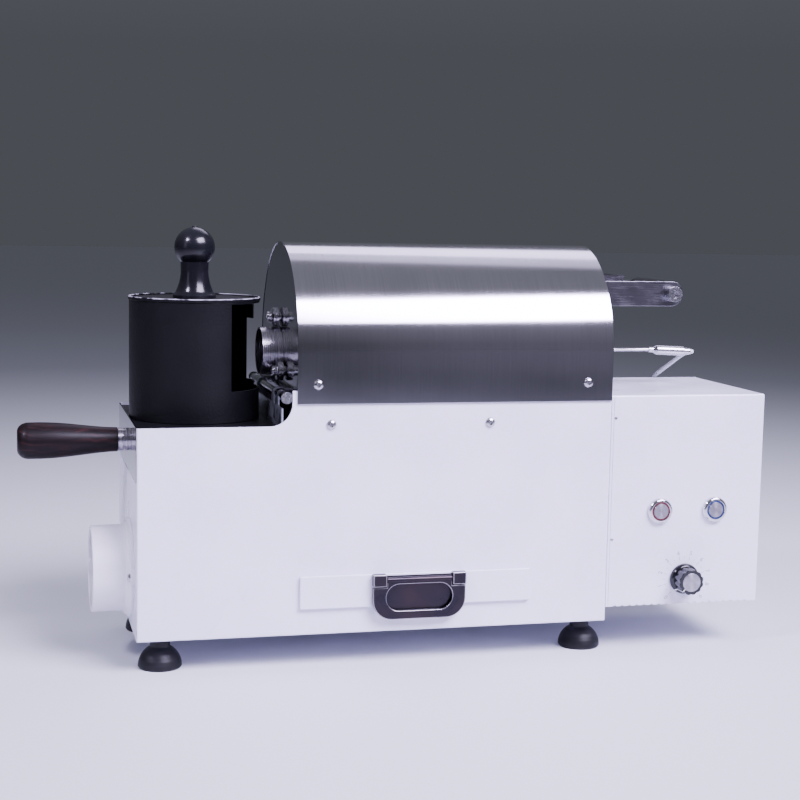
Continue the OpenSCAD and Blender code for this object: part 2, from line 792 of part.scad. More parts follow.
// Mains inlet with its three pins
inlet_pins = [-7, 0, 7];
module power_inlet() {
    color("black") {
        difference() {
            union() {
                slab([inlet_x - 13.3, box_back - 22, inlet_z - 9.8],
                    [inlet_x + 13.3, box_back, inlet_z + 9.8]);
                slab([inlet_x - 20, box_back, inlet_z - 13], [inlet_x + 20, box_back + 2, inlet_z + 13]);
            }
            slab([inlet_x - 12, box_back - 15, inlet_z - 8.5],
                [inlet_x + 12, box_back + 3, inlet_z + 8.5]);
        }
        for (dx = inlet_pins) let (up = dx == 0 ? 3 : -1)
            slab([inlet_x + dx - 1, box_back - 15, inlet_z + up - 2],
                [inlet_x + dx + 1, box_back - 3, inlet_z + up + 2]);
    }
}

// Gland in the box's back where the probe's lead goes in
gland_out = 6;
module lead_gland() {
    color("black") difference() {
        union() {
            bar_y(box_back - 8, box_back, gland_x, gland_z, gland_hole - 0.1);
            bar_y(box_back, box_back + gland_out, gland_x, gland_z, 6.5);
            bar_y(box_back - sheet - 4, box_back - sheet, gland_x, gland_z, 6.5);
        }
        bar_y(box_back - 9, box_back + gland_out - 2, gland_x, gland_z, lead_radius + 0.1);
    }
}

module circuit_board() {
    board_z = box_ground + 12;
    color("darkgreen") {
        slab([box_x + 30, box_front + 45, board_z], [box_right - 22, box_back - 40, board_z + 1.6]);
        for (x = [box_x + 34, box_right - 26], y = [box_front + 49, box_back - 44])
            bar_z(box_ground + sheet, board_z, x, y, 2.5);
        bar_z(board_z + 1.6, board_z + 22, box_x + 48, box_front + 65, 7);
        slab([box_x + 62, box_front + 52, board_z + 1.6], [box_x + 88, box_front + 78, board_z + 20]);
        slab([box_x + 96, box_front + 55, board_z + 1.6], [box_x + 102, box_front + 92, board_z + 24]);
    }
}

pot_bush_radius = 3.6;
module dial_potentiometer() {
    color("grey") difference() {
        union() {
            bar_y(box_front, box_front + sheet, knob_x, knob_z, pot_bush_radius);
            bar_y(box_front + sheet, box_front + sheet + 12, knob_x, knob_z, 12);
        }
        bar_y(box_front - 1, box_front + sheet + 8, knob_x, knob_z, pot_shaft_radius + pin_gap);
    }
}

// Chrome head, threaded barrel and nut of each push button
button_well = 12;
module button_case(x) {
    difference() {
        union() {
            translate([x, box_front, button_z]) rotate([90, 0, 0]) rotate_extrude() polygon([
                [0, 0], [button_radius, 0], [button_radius, button_proud * 0.45],
                [button_radius - 0.8, button_proud * 0.8], [button_radius - 2, button_proud],
                [0, button_proud]
            ]);
            bar_y(box_front, box_front + 24, x, button_z, button_barrel);
            bar_y(box_front + sheet, box_front + sheet + 4, x, button_z, button_barrel + 2.6);
        }
        bar_y(box_front - button_proud - 1, box_front + button_well, x, button_z, ring_radius);
    }
}
module button_cases() { color("silver") for (x = [button_power_x, button_cooling_x]) button_case(x); }

// Lit ring round a button's cap, and the cap itself
module button_ring(x) {
    difference() {
        bar_y(box_front - button_proud + 0.3, box_front + button_well, x, button_z, ring_radius - 0.02);
        bar_y(box_front - button_proud - 1, box_front + button_well - 2, x, button_z,
            cap_radius + pin_gap);
    }
}
module power_button_ring() { color("red") button_ring(button_power_x); }
module cooling_button_ring() { color("blue") button_ring(button_cooling_x); }

module button_cap(x) {
    bar_y(box_front - button_proud, box_front + button_well - 2 - button_travel - panel_gap, x,
        button_z, cap_radius);
}
module power_button() { color("silver") button_cap(button_power_x); }
module cooling_button() { color("silver") button_cap(button_cooling_x); }

// Fluted dial knob with its skirt, and the potentiometer's shaft fixed in it
flute_count = 12;
knob_gap = 0.4;
module dial_knob() {
    face = box_front - knob_gap;
    color("black") union() {
        translate([knob_x, face, knob_z]) rotate([90, 0, 0]) {
            rotate_extrude() polygon([
                [0, 0], [knob_radius, 0], [knob_radius, 2], [knob_radius - 1.4, 4], [knob_radius - 2.4, 4.6],
                [0, 4.6]
            ]);
            linear_extrude(knob_height - knob_gap) difference() {
                circle(knob_radius - 2);
                for (i = [0 : flute_count - 1]) rotate((i + 0.5) * 360 / flute_count)
                    translate([knob_radius - 0.6, 0]) circle(2.3);
            }
        }
        bar_y(face, box_front + sheet + 7, knob_x, knob_z, pot_shaft_radius);
    }
}

// ---------- cooling drawer ----------

slots_along = 4;
slots_across = 10;
module drawer_box() {
    x0 = drawer_plate_x + plate;
    top = drawer_z + drawer_height;
    color("silver") difference() {
        slab([x0, drawer_y0, drawer_z], [drawer_x1, drawer_y1, top]);
        slab([x0 + drawer_wall, drawer_y0 + drawer_wall, drawer_z + drawer_wall],
            [drawer_x1 - drawer_wall, drawer_y1 - drawer_wall, top + 1]);
        // slotted floor that the cooling air is drawn through
        for (i = [0 : slots_along], j = [0 : slots_across])
            translate([x0 + 16 + i * (drawer_x1 - x0 - 33.1) / slots_along,
                drawer_y0 + 16.5 + j * (drawer_y1 - drawer_y0 - 33) / slots_across, drawer_z - 1])
                linear_extrude(drawer_wall + 2) slot_2d(13, 3);
        bar_x(x0 - 1, x0 + drawer_wall + 1, mid_y, handle_z, handle_bolt_radius + screw_gap);
    }
}

handle_bolt_radius = 2.5;
module drawer_plate() {
    color("silver") difference() {
        slab([drawer_plate_x, in_front + joint_gap, opening_z + joint_gap],
            [drawer_plate_x + plate, in_back - joint_gap, well_z]);
        bar_x(drawer_plate_x - 1, drawer_plate_x + plate + 1, mid_y, handle_z,
            handle_bolt_radius + screw_gap);
    }
}

module handle_ferrule() {
    color("silver") difference() {
        turned_x(drawer_plate_x, mid_y, handle_z) polygon([
            [0, 0], [ferrule_radius, 0], [ferrule_radius, -2.2], [ferrule_radius - 0.5, -2.6],
            [ferrule_radius - 0.5, -3.2], [ferrule_radius, -3.6], [ferrule_radius, -ferrule_length + 0.6],
            [ferrule_radius - 0.6, -ferrule_length], [0, -ferrule_length]
        ]);
        bar_x(-20, 5, mid_y, handle_z, handle_bolt_radius + screw_gap);
    }
}

// Turned handle: narrow at the ferrule, swelling to a rounded free end
function handle_profile(t) = ferrule_radius + 0.5 + (handle_radius - ferrule_radius - 0.5)
    * pow(sin(90 * min(1, t * 1.12)), 1.7);
module wooden_handle() {
    steps = 14;
    nose = 9;
    straight = handle_length - nose;
    color("saddlebrown") difference() {
        turned_x(drawer_plate_x - ferrule_length, mid_y, handle_z) polygon(concat(
            [[0, 0]],
            [for (i = [0 : steps]) [handle_profile(i / steps), -straight * i / steps]],
            [for (a = [15 : 15 : 75]) [handle_radius - nose * 0.8 * (1 - cos(a)), -straight - nose * sin(a)]],
            [[0, -handle_length]]
        ));
        bar_x(handle_bolt_end - 2, 1, mid_y, handle_z, handle_bolt_radius + screw_gap);
    }
}

// Bolt through the handle, with its nut inside the drawer
handle_bolt_end = drawer_plate_x - ferrule_length - 0.6 * handle_length;
module handle_bolt() {
    inner = drawer_plate_x + plate + drawer_wall;
    color("silver") {
        bar_x(handle_bolt_end, inner + 3.5, mid_y, handle_z, handle_bolt_radius);
        bar_x(inner, inner + 3.5, mid_y, handle_z, 5);
    }
}

// ---------- chaff tray and its pull ----------

module chaff_tray() {
    x0 = tray_runner_x + 1.2 + panel_gap;
    x1 = 2 * tray_x0 + tray_width - x0;
    top = tray_box_z + tray_box_height;
    color("white") {
        // front that laps over the slot
        translate([tray_x0, 0, tray_z]) along(-panel_gap - tray_front_thick, tray_front_thick)
            rounded_2d(tray_width, tray_height, 1.5);
        difference() {
            slab([x0, -panel_gap, tray_box_z], [x1, tray_depth, top]);
            slab([x0 + 1, -panel_gap + 0.7, tray_box_z + 1], [x1 - 1, tray_depth - 1, top + 1]);
        }
    }
}

// Back plate and ears of the folding pull
module pull_plate() {
    face = -panel_gap - tray_front_thick;
    color("grey") difference() {
        union() {
            slab([pull_x - pull_width / 2 + 3, face - 0.8, tray_z + 1.2],
                [pull_x + pull_width / 2 - 3, face, tray_z + tray_height - 1]);
            for (side = [-1, 1])
                translate([pull_x + side * (pull_width - pull_ear) / 2 - pull_ear / 2, 0, 0])
                    slab([0, face - pull_ear_depth, pull_top - pull_ear_height], [pull_ear, face, pull_top]);
        }
        bar_x(pull_x - pull_width / 2 + 3, pull_x + pull_width / 2 - 3, pull_axis_y, pull_axis_z,
            pull_pin_radius + pin_gap);
    }
}

// Folding pull: a plate with an oval opening, turning on two stub pins
module folding_pull() {
    low_z = pull_top - pull_height;
    neck_z = pull_axis_z - 4;
    full_z = pull_top - pull_ear_height - pull_ear_gap;
    inner = pull_width - 2 * pull_ear - 2 * joint_gap;
    corner = 16;
    opening_low = low_z + 7;
    opening_high = neck_z + 0.6;
    color("grey") {
        along(pull_axis_y - pull_thick / 2, pull_thick) difference() {
            union() {
                translate([pull_x - inner / 2, low_z + corner])
                    square([inner, pull_axis_z + pull_pin_radius - low_z - corner]);
                translate([pull_x - pull_width / 2 + corner, low_z])
                    square([pull_width - 2 * corner, corner]);
                // lower corners are quarter rounds
                for (side = [-1, 1])
                    translate([pull_x + side * (pull_width / 2 - corner), low_z + corner]) difference() {
                        circle(corner);
                        translate([-corner, 0]) square([2 * corner, corner]);
                    }
                translate([pull_x - pull_width / 2, low_z + corner])
                    square([pull_width, full_z - low_z - corner]);
            }
            translate([pull_x, (opening_high + opening_low) / 2])
                slot_2d(pull_width - 22, opening_high - opening_low);
        }
        for (side = [0, 1]) translate([2 * side * pull_x, 0, 0]) mirror([side, 0, 0])
            bar_x(pull_x - pull_width / 2 + 4, pull_x - inner / 2 + 1, pull_axis_y, pull_axis_z,
                pull_pin_radius);
    }
}

// ---------- hood ----------

module smoke_hood() {
    lid_z = hood_top - hood_lid;
    color("black") difference() {
        translate([hood_x, mid_y, 0]) difference() {
            union() {
                translate([0, 0, hood_z]) cylinder(h = hood_height - hood_lid, r = hood_radius);
                translate([0, 0, lid_z]) cylinder(h = hood_lid, r = hood_radius + 0.6);
            }
            translate([0, 0, hood_z - 1]) cylinder(h = hood_height - hood_lid + 1 - 1.5,
                r = hood_radius - hood_wall);
            // dish inside the raised rim
            translate([0, 0, hood_top - 1.4]) cylinder(h = 2, r = hood_radius - 1.2);
            bar_z(lid_z - 5, hood_top + 1, 0, 0, 3 + screw_gap);
            // window towards the front, with a notch that the drum's neck swings into
            translate([0, 0, hood_z + window_sill])
                linear_extrude(height = lid_z - 1.5 - hood_z - window_sill) polygon(concat([[0, 0]],
                    [for (i = [0 : 6]) let (a = window_back_angle - i * (window_back_angle
                        + window_front_angle) / 6) 2 * hood_radius * [cos(a), sin(a)]]));
            slab([0, 0, drum_z - neck_radius - 5],
                [2 * hood_radius, neck_radius + 4.5, drum_z + neck_radius + 6]);
        }
    }
}

// Ball knob on a flared neck, with the stud that holds it through the hood's lid
module ball_knob() {
    seat = hood_top - 1.4;
    ball_z = seat + 44.6;
    neck = 11.3;
    color("black") translate([hood_x, mid_y, 0]) {
        rotate_extrude() polygon(concat(
            [[0, seat], [17.6, seat], [17.6, seat + 2.6], [15.6, seat + 4.4]],
            [for (t = [0.2 : 0.2 : 1]) [neck + 4.3 * pow(1 - t, 2), seat + 4.4 + 17.6 * t]],
            [for (a = [-46 : 8 : 82]) [ball_radius * cos(a), ball_z - 3.5 + ball_radius * sin(a)]],
            [[2.2, ball_z - 3.5 + ball_radius + 0.4], [0, ball_z - 3.5 + ball_radius + 0.6]]
        ));
        translate([0, 0, seat - 8]) cylinder(h = 9, r = 3);
        translate([0, 0, hood_top - hood_lid - 1.5 - 4]) cylinder(h = 4, r = 6);
    }
}

// ---------- roasting head ----------

// Outline of the arch in Y and Z, at a given radius, down to a given level
module arch_2d(radius, low) {
    intersection() {
        union() {
            translate([mid_y, arch_z]) circle(radius);
            translate([mid_y - radius, low]) square([2 * radius, arch_z - low]);
        }
        translate([mid_y - radius, low]) square([2 * radius, arch_z - low + radius]);
    }
}

module drum_cover() {
    color("silver") difference() {
        across(cover_start, cover_end - cover_start) difference() {
            arch_2d(cover_radius, skirt_z);
            arch_2d(cover_radius - plate, skirt_z - 1);
        }
        for (x = [cover_screw_left, cover_screw_right])
            bar_y(-5, body_depth + 5, x, cover_screw_z, panel_screw_radius + screw_gap);
    }
}

// End plate in Y and Z: full width above the panels' edge, narrower between the panels
module end_plate_2d() {
    intersection() {
        arch_2d(cover_radius - plate - 0.1, plate_low_z);
        union() {
            translate([0, plate_low_z]) translate([in_front + joint_gap, 0])
                square([in_back - in_front - 2 * joint_gap, 40]);
            translate([-10, plate_shoulder_z]) square([body_depth + 20, 200]);
        }
    }
}

// Turned-in flange along the arch
module end_flange(x, width) {
    across(x, width) difference() {
        arch_2d(cover_radius - plate - 0.1, plate_shoulder_z);
        arch_2d(cover_radius - 2 * plate - 0.1, plate_shoulder_z - 1);
    }
}

module cover_screw_holes() {
    for (x = [cover_screw_left, cover_screw_right])
        bar_y(-5, body_depth + 5, x, cover_screw_z, panel_screw_radius + screw_gap);
}

// Place of a roller's axis in Y and Z
function roller_place(a) = [mid_y + roller_circle * cos(a), drum_z + roller_circle * sin(a)];

module left_end_plate() {
    color("silver") difference() {
        union() {
            across(left_plate_x, plate) end_plate_2d();
            end_flange(left_plate_x + plate, flange_width);
            for (y = knuckle_starts(0)) slab([hinge_x, y, hinge_z + knuckle_radius - plate],
                [left_plate_x, y + knuckle_length, hinge_z + knuckle_radius]);
            knuckles(0);
        }
        bar_y(0, body_depth, hinge_x, hinge_z, hinge_pin_radius + pin_gap);
        bar_x(left_plate_x - 1, left_plate_x + plate + 1, mid_y, drum_z, neck_radius + 1);
        for (a = roller_angles) let (p = roller_place(a))
            bar_x(left_plate_x - 1, left_plate_x + plate + 1, p[0], p[1], roller_bolt_radius + screw_gap);
        cover_screw_holes();
    }
}

// Slanted passage in X and Z, between the bulkhead and the right end plate
module chute_2d(inset) {
    x0 = bulkhead_x + plate;
    x1 = right_plate_x;
    polygon([
        [x0, chute_low_z + inset], [x1, chute_low_z + chute_rise + inset],
        [x1, chute_low_z + chute_rise + chute_height - inset], [x0, chute_low_z + chute_height - inset]
    ]);
}

lever_foot = 14;
probe_fitting_radius = 3.8;
lever_screw_places = [lever_z - 6, lever_z + 6];
module right_end_plate() {
    color("silver") difference() {
        union() {
            across(right_plate_x, plate) end_plate_2d();
            end_flange(right_plate_x - flange_width, flange_width);
        }
        slab([right_plate_x - 1, chute_y0 + chute_wall, chute_low_z + chute_rise + chute_wall],
            [right_plate_x + plate + 1, chute_y1 - chute_wall, chute_low_z + chute_rise + chute_height
            - chute_wall]);
        bar_x(right_plate_x - 1, right_plate_x + plate + 1, mid_y, drum_z, probe_fitting_radius + screw_gap);
        for (z = lever_screw_places)
            bar_x(right_plate_x - 1, right_plate_x + plate + 1, lever_screw_y, z, 2 + screw_gap);
        cover_screw_holes();
    }
}

bearing_radius = 9;
module drive_bulkhead() {
    color("silver") difference() {
        union() {
            across(bulkhead_x, plate) end_plate_2d();
            end_flange(bulkhead_x + plate, 8);
            // posts that the motor is screwed to
            for (side = [-1, 1])
                bar_x(bulkhead_x + plate, motor_x, motor_y, motor_z + side * motor_post_reach, 3.5);
            // bearing boss of the drum's shaft
            bar_x(bulkhead_x, bulkhead_x + plate + 2.5, mid_y, drum_z, bearing_radius);
        }
        bar_x(bulkhead_x - 1, bulkhead_x + plate + 4, mid_y, drum_z, shaft_radius + pin_gap);
        slab([bulkhead_x - 1, chute_y0 + chute_wall, chute_low_z + chute_wall],
            [bulkhead_x + plate + 1, chute_y1 - chute_wall, chute_low_z + chute_height - chute_wall]);
    }
}

module cover_screws() {
    side_y = -panel_gap - plate;
    color("silver") for (x = [cover_screw_left, cover_screw_right]) {
        screw_back(x, side_y, cover_screw_z, panel_screw_radius, 7);
        screw_forward(x, body_depth - side_y, cover_screw_z, panel_screw_radius, 7);
    }
}

// Bolts that the three rollers turn on, with their washers and nuts
roller_end_gap = 0.3;
module roller_bolts() {
    head_x = roller_x - roller_end_gap - 3.5;
    color("silver") for (a = roller_angles) let (p = roller_place(a)) {
        bar_x(head_x, left_plate_x + plate + 3, p[0], p[1], roller_bolt_radius);
        bar_x(head_x, roller_x - roller_end_gap, p[0], p[1], 4.3);
        bar_x(left_plate_x - washer_thick + roller_end_gap, left_plate_x, p[0], p[1], 4.3);
        bar_x(left_plate_x + plate, left_plate_x + plate + 3, p[0], p[1], 4.3);
    }
}

// A ball-bearing roller that the drum's neck rides on
module roller(a) {
    p = roller_place(a);
    color("silver") difference() {
        turned_x(roller_x, p[0], p[1]) polygon([
            [0, 0], [roller_radius - 0.8, 0], [roller_radius, 0.8], [roller_radius, roller_width - 0.8],
            [roller_radius - 0.8, roller_width], [0, roller_width]
        ]);
        bar_x(roller_x - 1, roller_x + roller_width + 1, p[0], p[1], roller_bolt_radius + pin_gap);
    }
}
module top_roller() { roller(roller_angles[0]); }
module front_roller() { roller(roller_angles[1]); }
module rear_roller() { roller(roller_angles[2]); }

module bean_chute() {
    color("silver") difference() {
        along(chute_y0, chute_y1 - chute_y0) chute_2d(0);
        along(chute_y0 + chute_wall, chute_y1 - chute_y0 - 2 * chute_wall) chute_2d(chute_wall);
    }
}

// Hopper outside the right end plate: two sides and a floor that slants down to the chute
hopper_top = arch_z + 62;
hopper_reach = 34.6;
hopper_floor = 24.1;
hopper_tab = 6;
module hopper() {
    x0 = right_plate_x + plate;
    low = chute_low_z + chute_rise;
    color("silver") {
        difference() {
            along(chute_y0, chute_y1 - chute_y0) polygon([
                [x0, low - 1], [x0 + hopper_floor, low + 13.7], [x0 + hopper_reach, hopper_top],
                [x0, hopper_top]
            ]);
            along(chute_y0 + chute_wall, chute_y1 - chute_y0 - 2 * chute_wall) polygon([
                [x0 - 1, low], [x0, low + 0.2], [x0 + hopper_floor - 0.7, low + 14.4],
                [x0 + hopper_reach - 1.2, hopper_top], [x0 + hopper_reach - 1.2, hopper_top + 1],
                [x0 - 1, hopper_top + 1]
            ]);
        }
        for (side = [0, 1]) translate([0, side * body_depth, 0]) mirror([0, side, 0])
            slab([x0, chute_y0 - hopper_tab, low + 1], [x0 + plate, chute_y0, hopper_top - 2]);
    }
}

lever_screw_y = lever_y + lever_thick + lever_foot / 2 - 1;
module lever_bar() {
    half = lever_width / 2;
    color("silver") difference() {
        union() {
            along(lever_y, lever_thick) {
                translate([lever_foot_x, lever_z - half]) square([lever_reach, lever_width]);
                translate([lever_x, lever_z]) circle(half);
            }
            slab([lever_foot_x, lever_y, lever_z - half], [lever_foot_x + lever_thick, lever_y + lever_foot,
                lever_z + half]);
        }
        bar_y(lever_y - 1, lever_y + lever_thick + 1, lever_x, lever_z, grip_bolt_radius + screw_gap);
        for (z = lever_screw_places)
            bar_x(lever_foot_x - 1, lever_foot_x + lever_thick + 1, lever_screw_y, z, 2 + screw_gap);
    }
}

grip_bolt_depth = 40;
module lever_grip() {
    start = lever_y + lever_thick;
    color("black") difference() {
        translate([lever_x, start, lever_z]) rotate([-90, 0, 0]) rotate_extrude() polygon([
            [0, 0], [grip_radius - 1, 0], [grip_radius, 1], [grip_radius, grip_length - 2],
            [grip_radius - 0.6, grip_length - 0.6], [grip_radius - 2, grip_length], [0, grip_length]
        ]);
        bar_y(start - 1, start + grip_bolt_depth + 1, lever_x, lever_z, grip_bolt_radius + screw_gap);
    }
}

// Socket-head bolt of the grip, and the two screws of the lever's foot
module lever_bolt() {
    color("silver") {
        difference() {
            union() {
                bar_y(lever_y, lever_y + lever_thick + grip_bolt_depth, lever_x, lever_z,
                    grip_bolt_radius);
                bar_y(lever_y - 8, lever_y, lever_x, lever_z, 6.5);
            }
            translate([lever_x, lever_y - 4, lever_z]) rotate([90, 0, 0])
                cylinder(h = 5, r = 3.5, $fn = 6);
        }
        for (z = lever_screw_places) screw_left(lever_foot_x + lever_thick, lever_screw_y, z, 2, 8);
    }
}

// Temperature probe along the drum's axis: rod, fitting, and the sleeve that droops a little
module probe() {
    outside = right_plate_x + plate;
    color("silver") {
        bar_x(probe_tip, sleeve_x + 2, mid_y, drum_z, probe_radius);
        translate([sleeve_x, mid_y, drum_z]) rotate([0, 90 + sleeve_droop, 0]) rotate_extrude() polygon([
            [0, 0], [2.3, 0], [2.3, 4.6], [2.8, 5], [4.1, 7.6], [4.1, 33], [3, 33.4],
            [3, sleeve_length - 0.6], [2.4, sleeve_length], [0, sleeve_length]
        ]);
        bar_x(right_plate_x - 5, outside, mid_y, drum_z, probe_fitting_radius);
        bar_x(outside, outside + 6, mid_y, drum_z, 6);
        bar_x(right_plate_x - 5, right_plate_x, mid_y, drum_z, 6);
    }
}

// Lead of the probe: round the sleeve's end, back over the box's rear edge, down to the gland
sleeve_end = [sleeve_x + sleeve_length * cos(sleeve_droop), mid_y,
    drum_z - sleeve_length * sin(sleeve_droop)];
lead_turn = sleeve_end + [1.2, 5.2, -1.5];
lead_edge = [box_right - 37.7, box_back + 1.3, box_top + 3.7];
// shares of the way from the turn to the box's edge, along X, Y and Z
lead_over = [[0.142, 0.163, 0.081], [0.376, 0.367, 0.296], [0.655, 0.612, 0.577], [0.888, 0.857, 0.845],
    [1, 1, 1]];
// behind the box: share of the way to the gland along X, distance from the back, share of the way down
lead_down = [[0.045, 6.3, 0.008], [0.083, 9.8, 0.126], [0.135, 11.8, 0.328], [0.286, 13.8, 0.597],
    [0.511, 15.8, 0.882], [0.774, 17.3, 1.084], [0.97, 17.3, 1.145], [1, 14.8, 1.124],
    [1, 11.8, 1.054], [1, 8.8, 1.007], [1, gland_out, 1]];
lead_points = concat(
    [sleeve_end, sleeve_end + [1.8, 0.3, -0.1], sleeve_end + [2.95, 2.4, -0.5], lead_turn],
    [for (f = lead_over) [for (k = [0 : 2]) lead_turn[k] + (lead_edge[k] - lead_turn[k]) * f[k]]],
    [for (p = lead_down) [lead_edge[0] + (gland_x - lead_edge[0]) * p[0], box_back + p[1],
        box_top + (gland_z - box_top) * p[2]]]
);

// Smooth path through the points, and a tube with flat rings along it
function lead_at(i, t) = let (n = len(lead_points) - 1, p0 = lead_points[max(i - 1, 0)], p1 = lead_points[i],
    p2 = lead_points[i + 1], p3 = lead_points[min(i + 2, n)])
    0.5 * (2 * p1 + (p2 - p0) * t + (2 * p0 - 5 * p1 + 4 * p2 - p3) * t * t
        + (3 * p1 - p0 - 3 * p2 + p3) * t * t * t);
lead_steps = 3;
lead_path = concat(
    [for (i = [0 : len(lead_points) - 2], s = [0 : lead_steps - 1]) lead_at(i, s / lead_steps)],
    [lead_points[len(lead_points) - 1]]
);
function unit(v) = v / norm(v);
function lead_ring(i) = let (n = len(lead_path) - 1,
    d = i == 0 ? [cos(sleeve_droop), 0, -sin(sleeve_droop)] : i == n ? [0, -1, 0]
        : unit(lead_path[i + 1] - lead_path[i - 1]),
    side = unit(cross(d, [0.31, 0.2, 0.93])), up = cross(side, d))
    [for (k = [0 : 7]) lead_path[i] + lead_radius * (cos(k * 45) * side + sin(k * 45) * up)];

module probe_lead() {
    rings = len(lead_path);
    color("gainsboro") polyhedron(
        points = [for (i = [0 : rings - 1]) each lead_ring(i)],
        faces = concat(
            [[for (k = [0 : 7]) k]],
            [for (i = [0 : rings - 2], k = [0 : 7]) let (a = i * 8 + k, b = i * 8 + (k + 1) % 8) each
                [[a, a + 8, b], [b, a + 8, b + 8]]],
            [[for (k = [7 : -1 : 0]) (rings - 1) * 8 + k]]
        )
    );
}

module gear_motor() {
    color("dimgrey") difference() {
        union() {
            bar_x(motor_x, motor_x + motor_depth, motor_y, motor_z, motor_radius);
            across(motor_x, 2) union() {
                translate([motor_y - 5, motor_z - motor_post_reach]) square([10, 2 * motor_post_reach]);
                for (side = [-1, 1]) translate([motor_y, motor_z + side * motor_post_reach]) circle(5);
            }
        }
        bar_x(motor_x - 1, motor_x + 6, mid_y + gear_distance, drum_z, 3 + pin_gap);
    }
}

// ---------- turning pieces ----------

// Drum's barrel with its neck
module drum_shell() {
    color("silver") difference() {
        union() {
            bar_x(drum_x, drum_end, mid_y, drum_z, drum_radius);
            bar_x(neck_x, drum_x + drum_wall, mid_y, drum_z, neck_radius);
        }
        bar_x(drum_x + drum_wall, drum_end + 1, mid_y, drum_z, drum_radius - drum_wall);
        bar_x(neck_x - 1, drum_x + drum_wall + 1, mid_y, drum_z, neck_radius - drum_wall);
    }
}

// End ring with spokes and the hollow shaft, and the mixing vanes that it carries along the barrel
spider_thick = 1.5;
spider_rim = 9;
spoke_width = 8;
module drum_spider() {
    inner = drum_radius - drum_wall - pin_gap;
    ring_x = drum_end - spider_thick;
    color("silver") difference() {
        union() {
            across(ring_x, spider_thick) translate([mid_y, drum_z]) {
                difference() {
                    circle(inner);
                    circle(inner - spider_rim);
                }
                circle(shaft_radius + 4);
                for (a = [0 : 360 / flight_count : 359]) rotate(a) translate([0, -spoke_width / 2])
                    square([inner - spider_rim / 2, spoke_width]);
            }
            bar_x(ring_x, gear_x + gear_width + 1, mid_y, drum_z, shaft_radius);
            for (a = [0 : 360 / flight_count : 359]) translate([0, mid_y, drum_z]) rotate([a, 0, 0])
                slab([drum_x + 8, inner - flight_height, -spider_thick / 2],
                    [drum_end, inner - 0.2, spider_thick / 2]);
        }
        bar_x(ring_x - 1, gear_x + gear_width + 2, mid_y, drum_z, shaft_bore);
    }
}

module drum_gear() {
    color("goldenrod") difference() {
        translate([0, mid_y, drum_z]) across(gear_x, gear_width) gear_2d(drum_teeth, gear_module);
        bar_x(gear_x - 1, gear_x + gear_width + 1, mid_y, drum_z, shaft_radius + 0.01);
    }
}

// Pinion on the gear motor's shaft
module motor_pinion() {
    y = mid_y + gear_distance;
    color("goldenrod") {
        translate([0, y, drum_z]) across(gear_x, gear_width)
            rotate(180 + 180 / pinion_teeth) gear_2d(pinion_teeth, gear_module);
        bar_x(gear_x, motor_x + 5, y, drum_z, 3);
    }
}

// ---------- assembly ----------

module place() {
    translate(-origin) children();
}

place() front_panel();
place() rear_panel();
place() base_tray();
place() left_end_panel();
place() well_deck();
place() partition();
place() heat_liner();
place() heating_tubes();
place() runners();
place() body_screws();
place() rubber_feet();
place() duct_collar();
place() blower_housing();
place() fan_motor();
place() fan_rotor();
place() hinge_pin();
place() control_chassis();
place() control_cover();
place() power_inlet();
place() lead_gland();
place() circuit_board();
place() dial_potentiometer();
place() button_cases();
place() power_button_ring();
place() cooling_button_ring();
place() power_button();
place() cooling_button();
place() dial_knob();
place() drawer_box();
place() drawer_plate();
place() handle_ferrule();
place() wooden_handle();
place() handle_bolt();
place() chaff_tray();
place() pull_plate();
place() folding_pull();
place() smoke_hood();
place() ball_knob();
place() drum_cover();
place() left_end_plate();
place() right_end_plate();
place() drive_bulkhead();
place() cover_screws();
place() roller_bolts();
place() bean_chute();
place() hopper();
place() lever_bar();
place() lever_grip();
place() lever_bolt();
place() probe();
place() probe_lead();
place() gear_motor();
place() motor_pinion();
place() drum_shell();
place() drum_spider();
place() drum_gear();
place() top_roller();
place() front_roller();
place() rear_roller();
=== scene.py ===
# Home coffee bean roaster: the finishes and the visible pieces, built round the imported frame.
import math

import bmesh
import bpy
from mathutils import Matrix, Vector


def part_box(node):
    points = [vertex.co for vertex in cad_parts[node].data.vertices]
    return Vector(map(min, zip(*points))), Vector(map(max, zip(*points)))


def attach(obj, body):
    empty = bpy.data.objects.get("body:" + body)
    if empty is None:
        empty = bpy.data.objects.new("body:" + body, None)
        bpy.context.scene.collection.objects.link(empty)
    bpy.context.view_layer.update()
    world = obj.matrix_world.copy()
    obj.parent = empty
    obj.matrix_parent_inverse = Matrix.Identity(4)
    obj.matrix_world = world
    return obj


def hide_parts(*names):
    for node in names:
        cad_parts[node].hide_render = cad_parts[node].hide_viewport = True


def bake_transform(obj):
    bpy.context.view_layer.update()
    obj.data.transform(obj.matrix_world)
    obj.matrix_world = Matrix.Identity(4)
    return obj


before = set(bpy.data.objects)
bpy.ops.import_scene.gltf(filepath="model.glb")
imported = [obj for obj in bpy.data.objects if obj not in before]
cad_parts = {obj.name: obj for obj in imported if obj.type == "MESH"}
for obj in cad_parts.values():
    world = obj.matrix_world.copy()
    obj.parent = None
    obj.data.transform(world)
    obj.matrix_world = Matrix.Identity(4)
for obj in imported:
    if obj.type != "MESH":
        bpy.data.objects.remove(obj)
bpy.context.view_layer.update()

# ---- Camera ----
# It stands to the machine's left and a little above the drum cover, with a short telephoto lens.

# the front panel's lower left corner, and the height at which the feet hold it over the table
front_corner, BODY_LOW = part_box("front_panel")[0], 27


def at(right, back, up):
    """A place in millimetres from the body's front left corner, with its height from the table."""
    return front_corner + Vector((right, back, up - BODY_LOW)) / 1000


